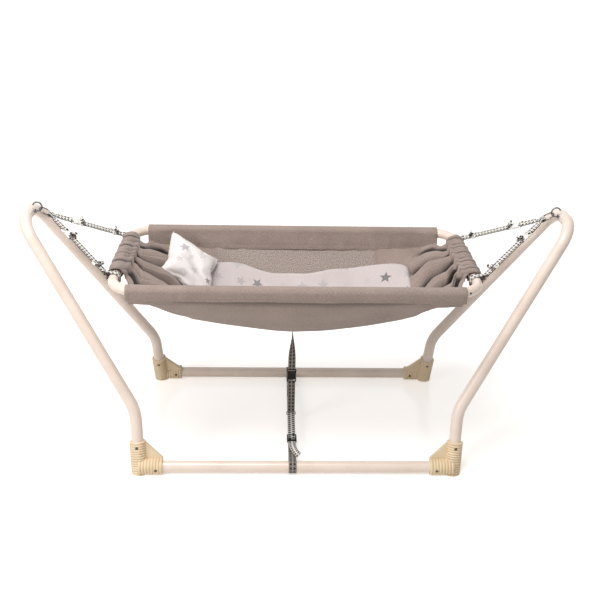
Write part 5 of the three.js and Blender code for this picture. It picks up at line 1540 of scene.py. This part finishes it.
def make_sleeves(cloth, stitch_tree, thread):
    outline = sleeve_outline()
    around = len(outline)
    seam_lines = []
    for depth_name, depth in DEPTHS.items():
        def place(x, k):
            y, z = sleeve_section(depth, k, x, outline)
            return Vector((CRADLE_SHIFT + x, depth * CRADLE_HALF_WIDTH + y, CRADLE_HEIGHT + z))

        points = [place(SLEEVE_HALF_LENGTH * (2 * i / SLEEVE_COLUMNS - 1), k)
                  for i in range(SLEEVE_COLUMNS + 1) for k in range(around)]
        round_it = walked(points[:around] + points[:1])
        faces, spots = [], []
        for i in range(SLEEVE_COLUMNS):
            low, high = (2 * SLEEVE_HALF_LENGTH * n / SLEEVE_COLUMNS for n in (i, i + 1))
            for k in range(around):
                a, b = i * around + k, i * around + (k + 1) % around
                corners = [(a, low, round_it[k]), (b, low, round_it[k + 1]),
                           (b + around, high, round_it[k + 1]), (a + around, high, round_it[k])]
                if depth > 0:
                    corners.reverse()
                faces.append(tuple(c[0] for c in corners))
                spots += [value for c in corners for value in c[1:]]
        mesh = mesh_of(f"rail_sleeve_{depth_name}", points, faces)
        lay_cloth_map(mesh, spots)
        # The sleeves carry no heather and no painted shade
        for name in ("heather", "painted_fold_shade"):
            mark_points(mesh, name, [0.0] * len(points))
        piece = new_piece(f"rail_sleeve_{depth_name}", mesh, "cradle", cloth, f"sleeve_{depth_name}")
        thicken(piece, SLEEVE_THICKNESS)
        reach = SLEEVE_HALF_LENGTH - 4 * MM
        for k, out in SLEEVE_SEAMS:
            proud = Vector((0, depth * out * 0.5 * MM, 0))
            seam_lines.append([place(reach * (2 * i / SLEEVE_SEAM_STEPS - 1), k) + proud
                               for i in range(SLEEVE_SEAM_STEPS + 1)])
        for x in (-SLEEVE_HALF_LENGTH + 9 * MM, SLEEVE_HALF_LENGTH - 9 * MM):
            ring = [place(x, k) for k in range(around + 1)]
            axis = Vector((CRADLE_SHIFT + x, depth * CRADLE_HALF_WIDTH, CRADLE_HEIGHT))
            seam_lines.append([p + (p - axis).normalized() * 0.4 * MM for p in ring])
    sew("sleeve_seam_stitches", seam_lines, SLEEVE_STITCHES, thread, stitch_tree)


# Pad and pillow

PAD_LEFT = -285 * MM
PAD_RIGHT = 312 * MM
PAD_HALF_WIDTH = 150 * MM
PAD_THICKNESS = 12 * MM
PAD_LIFT = 2.1 * MM
PILLOW_SWELL_CAP = 14 * MM
PILLOW_PRINT = 1.15
PILLOW_VOXEL = 4.5 * MM
PILLOW_PRESSURE = 5
PILLOW_SHRINK = -0.1
SWELL_STEPS = 20


def closed_form(name, columns, rows, upper, lower):
    """A closed sheet from two faces that share a grid, its walls one face high"""
    points = [face(i / columns, j / rows) for face in (upper, lower)
              for i in range(columns + 1) for j in range(rows + 1)]
    layer = (columns + 1) * (rows + 1)
    faces = paired_faces(columns, rows)
    ring = ([i * (rows + 1) for i in range(columns + 1)]
            + [columns * (rows + 1) + j for j in range(1, rows + 1)]
            + [i * (rows + 1) + rows for i in reversed(range(columns))] + list(reversed(range(1, rows))))
    for a, b in zip(ring, ring[1:] + ring[:1]):
        faces.append((a, b, layer + b, layer + a))
    return facing_out(mesh_of(name, points, faces))


def swollen(mesh, voxel, cap, pressure, shrink):
    """The form blown up as sewn cloth, each point kept within the cap of where it started"""
    start = placed("stuffing", mesh)
    remesh = start.modifiers.new("remesh", "REMESH")
    remesh.mode = "VOXEL"
    remesh.voxel_size = voxel
    base = finished_mesh(start)
    bpy.data.objects.remove(start)
    puff = placed("puff", base.copy())
    cloth = puff.modifiers.new("cloth", "CLOTH")
    cloth.settings.quality = 5
    cloth.settings.use_pressure = True
    cloth.settings.uniform_pressure_force = pressure
    cloth.settings.shrink_min = shrink
    cloth.settings.effector_weights.gravity = 0
    cloth.point_cache.frame_start, cloth.point_cache.frame_end = 1, SWELL_STEPS
    scene = bpy.context.scene
    for step in range(1, SWELL_STEPS + 1):
        scene.frame_set(step)
    blown = finished_mesh(puff)
    bpy.data.objects.remove(puff)
    scene.frame_set(1)
    for vert, first in zip(blown.vertices, base.vertices):
        travel = vert.co - first.co
        if travel.length > cap:
            vert.co = first.co + travel * (cap / travel.length)
    return blown


def relaxed(mesh):
    """A mesh with every point moved halfway to the middle of its neighbours"""
    work = bmesh.new()
    work.from_mesh(mesh)
    bmesh.ops.smooth_vert(work, verts=work.verts, factor=0.5, use_axis_x=True, use_axis_y=True,
                          use_axis_z=True)
    work.to_mesh(mesh)
    work.free()
    return mesh


def cloth_height(x, y):
    """The top of the hanging cloth, with its ripples, at a place in the cradle"""
    place = x - CRADLE_SHIFT
    return bed_point(("bed", place, 0), y / bed_half_width(abs(place))).z


def pad_place(along, across, top):
    reach = math.sin((2 * along - 1) * math.pi / 2)
    x = between(PAD_LEFT, PAD_RIGHT, (reach + 1) / 2)
    taper = math.sqrt(max(0.0, 1 - abs(reach) ** 10))
    climb = 9 * MM * smooth_share(x, 0.02, 0.11) + 14 * MM * (1 - smooth_share(x, -0.17, -0.05)) - 3 * MM
    wavy = 5 * MM * noise.noise(Vector((x * 8, across * 2, 0.7)))
    swing = math.sin((across - 0.5) * math.pi)
    y = (PAD_HALF_WIDTH + (climb if across > 0.5 else 0) + wavy) * between(0.8, 1, taper) * swing
    from_edge = min(x - PAD_LEFT, PAD_RIGHT - x, PAD_HALF_WIDTH * (1 - abs(swing))) + 0.5 * MM
    round_edge = 1 - (1 - min(1.0, from_edge / (15 * MM))) ** 2.4
    puff = 3 * MM * noise.noise(Vector((x * 9, y * 11, 4.1)))
    crease = -2.5 * MM * max(0.0, 1 - abs(noise.noise(Vector((x * 7 + y * 2, y * 5, 1.3)))) * 9)
    height = PAD_LIFT + (2.5 * MM + (PAD_THICKNESS + puff + crease) * round_edge) * (1 if top else 0)
    return Vector((x, y, cloth_height(x, y) + height))


def make_pad(cotton):
    mesh = closed_form("star_pad", 150, 56, lambda along, across: pad_place(along, across, True),
                       lambda along, across: pad_place(along, across, False))
    spots = []
    for loop in mesh.loops:
        place = mesh.vertices[loop.vertex_index].co
        slope = 0.62 * place.y / PAD_HALF_WIDTH
        spots += [place.x + 0.013, place.y * (1 + 0.35 * slope * slope) + 0.021]
    lay_cloth_map(mesh, spots)
    piece = new_piece("star_pad", mesh, "cradle", cotton, "mattress_pad")


PILLOW_CORNERS = {name: Vector(place) * MM + Vector((CRADLE_SHIFT, 0, CRADLE_HEIGHT)) for name, place in {
    "rear_left": (-335, 166, 8), "front_left": (-354, 25, -44),
    "front_right": (-229, 20, -142), "rear_right": (-204, 148, -63)}.items()}


def make_pillow(cotton):
    corners = PILLOW_CORNERS
    length_way = corners["front_right"] - corners["front_left"]
    width_way = corners["rear_left"] - corners["front_left"]
    normal = length_way.cross(width_way).normalized()

    def face(direction):
        def place(along, across):
            inset = 0.012
            along = between(inset, 1 - inset, along)
            across = between(inset, 1 - inset, across)
            waist = 0.035 * (1 - (2 * across - 1) ** 2)
            side_waist = 0.035 * (1 - (2 * along - 1) ** 2)
            along = between(along, 0.5, waist * 2 * abs(2 * along - 1))
            across = between(across, 0.5, side_waist * 2 * abs(2 * across - 1))
            front = corners["front_left"].lerp(corners["front_right"], along)
            rear = corners["rear_left"].lerp(corners["rear_right"], along)
            dome = (1 - abs(2 * along - 1) ** 2.6) * (1 - abs(2 * across - 1) ** 2.6)
            return front.lerp(rear, across) + normal * direction * (2.2 * MM + 15 * MM * dome)
        return place

    form = closed_form("pillow form", 40, 40, face(1), face(-1))
    mesh = relaxed(swollen(form, PILLOW_VOXEL, PILLOW_SWELL_CAP, PILLOW_PRESSURE, PILLOW_SHRINK))
    middle = sum(corners.values(), Vector()) / 4
    along_way = length_way.normalized()
    across_way = normal.cross(along_way)
    spots = []
    for vert in mesh.vertices:
        rel = vert.co - middle
        a, b = rel.dot(along_way), rel.dot(across_way)
        pull = noise.noise(Vector((a * 14 - b * 6, b * 18, 2.2)))
        radial = noise.noise(Vector((math.atan2(b, a) * 3.2, 0, 5.0)))
        far = smooth_share(math.hypot(a, b), 30 * MM, 85 * MM)
        vert.co += normal * math.copysign(1, rel.dot(normal)) * (1.2 * MM * pull + 2.4 * MM * radial * far)
    for loop in mesh.loops:
        rel = mesh.vertices[loop.vertex_index].co - middle
        spots += [rel.dot(along_way) * PILLOW_PRINT + 0.37, rel.dot(across_way) * PILLOW_PRINT + 0.235]
    lay_cloth_map(mesh, spots)
    mesh.polygons.foreach_set("use_smooth", [True] * len(mesh.polygons))
    piece = new_piece("star_pillow", mesh, "cradle", cotton, "pillow")
    rounding = piece.modifiers.new("rounding", "SUBSURF")
    rounding.levels = rounding.render_levels = 1


# Tether and cross strap

TETHER_X = -11 * MM
TETHER_TOP = 292.6 * MM
PLUG_TOP = 166 * MM
SOCKET_BOTTOM = 126 * MM
RING_TOP = 31 * MM
RING_BOTTOM = 18.2 * MM
CROSS_THICKNESS = 1.4 * MM
CROSS_LIFT = 6.5 * MM
CROSS_HALF_RUN = 184.4 * MM
TAIL_THICKNESS = 1.2 * MM
LINK_WIRE = 0.9 * MM
LINK_CORNER = 2 * MM
TAIL_RISE = 17 * MM
LOCK_PLACE = -121 * MM
TETHER_STEPS = 60
TETHER_STEP = 4 * MM
STRAP_IN_PLUG = 7 * MM
STRAP_IN_SOCKET = 4 * MM
TETHER_TOP_GAP = 1.2 * MM
TETHER_UPPER_THICKNESS = 1.8 * MM
TETHER_LOWER_THICKNESS = 0.95 * MM
TETHER_FRONT_LAYER = -0.6 * MM
TETHER_REAR_LAYER = 0.5 * MM
LOOSE_TAIL_LENGTH = 50 * MM
LOOSE_TAIL_STEPS = 14
LINK_HALF_WIDTH = 13 * MM
CROSS_END = 184 * MM
CROSS_LOOP_REACH = 60 * MM
CROSS_TAIL_STEPS = 30


def square_way(path, i):
    """The way square to a (y, z) path at one of its places"""
    before, after = neighbours(path, i)
    ahead = Vector((0, after[0] - before[0], after[1] - before[1])).normalized()
    return Vector((0, ahead.z, -ahead.y))


def on_tether(height):
    """A matrix that stands half a buckle on end in the tether's line"""
    upright = Matrix(((0, 1, 0), (0, 0, -1), (1, 0, 0))).to_4x4()
    return Matrix.Translation(Vector((TETHER_X, 0, height))) @ upright


def make_tether(webbing, black):
    upper = Webbing("tether_strap_top")
    stations = []
    for i in range(TETHER_STEPS + 1):
        share = i / TETHER_STEPS
        height = between(PLUG_TOP - STRAP_IN_PLUG, TETHER_TOP - TETHER_TOP_GAP, share)
        turn = math.pi / 2 * smooth_share(share, 0.08, 1.0)
        narrowed = 1 - 0.15 * smooth_share(share, 0.9, 1)
        width = Vector((math.cos(turn), math.sin(turn), 0)) * WEBBING_WIDTH * narrowed
        outward = Vector((math.sin(turn), -math.cos(turn), 0))
        stations.append((Vector((TETHER_X, 0, height)), width, outward, True))
    upper.strip(stations, thickness=TETHER_UPPER_THICKNESS)
    new_piece("tether_strap_top", upper.mesh(), "tether", webbing, "tether_strap_upper")

    plug = moved(plug_half_mesh(20, 25, 8), on_tether(PLUG_TOP))
    new_piece("tether_buckle_plug", facing_out(plug), "tether", black, "tether_buckle_male")
    socket = moved(socket_half_mesh(19.6, 25, 8), on_tether(SOCKET_BOTTOM))
    new_piece("tether_buckle_socket", facing_out(socket), "tether", black, "tether_buckle_female")

    lower = Webbing("tether_strap_bottom")
    bar = RING_TOP - LINK_WIRE
    eye = BAR_EYE + 0.5 * MM
    end = SOCKET_BOTTOM + STRAP_IN_SOCKET
    path = [(TETHER_REAR_LAYER, end)]
    path += [(TETHER_REAR_LAYER, z) for z in spaced(SOCKET_BOTTOM - 2 * MM, bar + EYE_NECK, TETHER_STEP)]
    path += [(y, z) for z, y in eye_arc(bar, eye, 1)]
    path += [(TETHER_FRONT_LAYER, z)
             for z in spaced(bar + EYE_NECK, SOCKET_BOTTOM - STRAP_IN_SOCKET, TETHER_STEP)]
    path.append((TETHER_FRONT_LAYER, end))
    stations = []
    for i, (y, z) in enumerate(path):
        stations.append((Vector((TETHER_X, y, z)), Vector((WEBBING_WIDTH, 0, 0)), -square_way(path, i), True))
    lower.strip(stations, thickness=TETHER_LOWER_THICKNESS)
    top = SOCKET_BOTTOM - 1 * MM
    tail = []
    for i in range(LOOSE_TAIL_STEPS + 1):
        share = i / LOOSE_TAIL_STEPS
        y = between(3 * MM, 6.9 * MM, smooth_share(share, 0, 0.3)) + 1.2 * MM * math.sin(share * 5)
        tail.append((Vector((TETHER_X - 1.5 * MM * share, y, top - LOOSE_TAIL_LENGTH * share)),
                     Vector((WEBBING_WIDTH, 0, 0)), Vector((0, 1, 0)), False))
    lower.strip(tail, thickness=TAIL_THICKNESS)
    new_piece("tether_strap_bottom", lower.mesh(), "tether", webbing, "tether_strap_lower")

    half, high, low = LINK_HALF_WIDTH - LINK_WIRE, RING_TOP - LINK_WIRE, RING_BOTTOM + LINK_WIRE
    loop = []
    for x, z, start in ((half, high, 0), (-half, high, 90), (-half, low, 180), (half, low, 270)):
        for k in range(5):
            angle = math.radians(start + 90 * k / 4)
            corner = Vector((x - math.copysign(LINK_CORNER, x), 0,
                             z - math.copysign(LINK_CORNER, z - (high + low) / 2)))
            loop.append(corner + Vector((TETHER_X, 0, 0))
                        + LINK_CORNER * Vector((math.cos(angle), 0, math.sin(angle))))
    ring = tube_mesh("tether ring", loop, LINK_WIRE, 14, True)
    new_piece("tether_link", facing_out(ring), "tether", black, "tether_ring")


def cross_lift(y):
    """How far the floor strap stands above the bars' axes at a place along it"""
    return CROSS_LIFT * (1 - abs(y) / CROSS_HALF_RUN)


def make_cross_strap(webbing, black):
    strap = Webbing("floor_strap")
    width = Vector((WEBBING_WIDTH, 0, 0))
    stations = []
    for y in spaced(-CROSS_END, CROSS_END, TETHER_STEP):
        slope = -math.copysign(CROSS_LIFT / CROSS_HALF_RUN, y)
        stations.append((Vector((TETHER_X, y, BAR_HEIGHT + cross_lift(y))), width,
                         Vector((0, -slope, 1)).normalized(), y < LOCK_PLACE - 8 * MM))
    strap.strip(stations, thickness=CROSS_THICKNESS)
    radius = TUBE_RADIUS + 0.45 * MM + CROSS_THICKNESS / 2
    for depth in (-1, 1):
        middle = Vector((TETHER_X, depth * BAR_HALF_DEPTH, BAR_HEIGHT))
        arc = eye_arc(0, radius, -depth, 36)
        join = Vector((TETHER_X, depth * (BAR_HALF_DEPTH - CROSS_LOOP_REACH), BAR_HEIGHT))
        flat = [(join.y - middle.y, 0.4 * MM)] + arc + [(join.y - middle.y, -0.4 * MM)]
        path = [flat[0]]
        for a, b in zip(flat, flat[1:]):
            far = math.dist(a, b)
            steps = max(1, round(far / TETHER_STEP))
            path += [(between(a[0], b[0], k / steps), between(a[1], b[1], k / steps))
                     for k in range(1, steps + 1)]
        stations = []
        for i, (y, z) in enumerate(path):
            outward = square_way(path, i)
            if outward.dot(Vector((0, y, z))) < 0:
                outward.negate()
            stations.append((middle + Vector((0, y, z)), width, outward, True))
        strap.strip(stations)
    tail = []
    first, last = -134 * MM, -224 * MM
    for i in range(CROSS_TAIL_STEPS + 1):
        share = i / CROSS_TAIL_STEPS
        y = between(first, last, share)
        rise = TAIL_RISE * math.sin(share * math.pi / 2)
        lean = 1.1 * smooth_share(share, 0.1, 1.0)
        wide = Vector((math.cos(lean), -0.25 * math.sin(lean), math.sin(lean))) * (WEBBING_WIDTH - 0.4 * MM)
        place = Vector((TETHER_X + 17 * MM * share ** 3, y, BAR_HEIGHT + cross_lift(first) + 1.2 * MM + rise))
        ahead = Vector((17 * MM * 3 * share ** 2, last - first,
                        TAIL_RISE * math.pi / 2 * math.cos(share * math.pi / 2)))
        outward = wide.cross(ahead).normalized()
        if outward.z < 0:
            outward.negate()
        tail.append((place, wide, outward, False))
    strap.strip(tail, thickness=TAIL_THICKNESS)
    new_piece("floor_strap", strap.mesh(), "stand", webbing, "cross_strap")

    slope = math.atan(CROSS_LIFT / CROSS_HALF_RUN)
    rails = [loft_mesh("rail", [(-15, 1.3, 3.4, y, 0), (0, 1.5, 3.8, y, 0), (15, 1.3, 3.4, y, 0)], 0.6, 20)
             for y in (-11.5, 11.5)]
    bars = [rod_between(Vector((x, -11.8, z)) * MM, Vector((x, 11.8, z)) * MM, r * MM, 16)
            for x, z, r in ((13.6, 2.6, 1.0), (-2, 2.7, 1.0), (-9, 2.5, 1.2), (-13.4, 2.3, 1.3),
                            (6, -2.7, 1.0))]
    shape = carved("lock", rails[0], (), [rails[1], *bars])
    turn = Matrix.Translation(Vector((TETHER_X, LOCK_PLACE, BAR_HEIGHT + cross_lift(LOCK_PLACE) + 0.7 * MM)))
    turn = turn @ Matrix.Rotation(slope, 4, "X") @ Matrix.Rotation(math.pi / 2, 4, "Z")
    new_piece("ladder_lock", soften_edges(moved(shape, turn)), "cross_strap_lock", black, "cross_strap_lock")


# Making

place_camera()
light_the_room()
lay_floor()

enamel = coated_finish("warm white enamel", paint(238, 222, 209), paint(230, 212, 198), 0.32, 900, 0.03,
                       Coat_Weight=0.3, Coat_Roughness=0.2)
ivory = coated_finish("ivory nylon", paint(232, 212, 180), paint(220, 198, 162), 0.42, 1400, 0.05)
white_nylon = coated_finish("white nylon", paint(242, 240, 238), paint(232, 229, 226), 0.35, 1200, 0.04)
black_nylon = coated_finish("black nylon", paint(16, 15, 15), paint(28, 26, 25), 0.42, 1200, 0.05,
                            Specular_IOR_Level=0.2)
steel = dull_screw_steel()
chrome = polished_chrome()
webbing = dotted_webbing()
taupe = bed_cloth()
taupe_outside = outer_cloth()
# The pad's star cotton is darker than the pillow's copy, as painted shade for the cradle's inside under its
# front wall
shaded_pad_cotton = star_cotton("pad star cotton", paint(190, 180, 179), paint(218, 208, 207))
pillow_cotton = star_cotton("pillow star cotton", paint(232, 225, 223), paint(250, 245, 243))
taupe_thread = plain_cloth("taupe thread", paint(112, 97, 90), paint(150, 134, 126), 0.3 * MM)[0]
grey_thread = plain_cloth("grey thread", paint(80, 78, 78), paint(130, 126, 124), 0.3 * MM)[0]

tube_tree = bent_tube_tree()
socket_tree = ribbed_socket_tree()
stitch_tree = stitch_row_tree()
screw_tree = screw_set_tree()

make_stand_tubes(tube_tree, enamel)
make_connectors(socket_tree, ivory)
make_screws(screw_tree, steel)
make_hooks(chrome)
make_end_tubes(tube_tree, enamel)
make_spring_button(black_nylon)
make_rings(chrome)
make_straps(webbing, grey_thread, stitch_tree)
make_strap_fittings(white_nylon)
make_bed(taupe, taupe_outside)
make_bed_seams(stitch_tree, taupe_thread)
make_sleeves(taupe, stitch_tree, taupe_thread)
make_pad(shaded_pad_cotton)
make_pillow(pillow_cotton)
make_tether(webbing, black_nylon)
make_cross_strap(webbing, black_nylon)
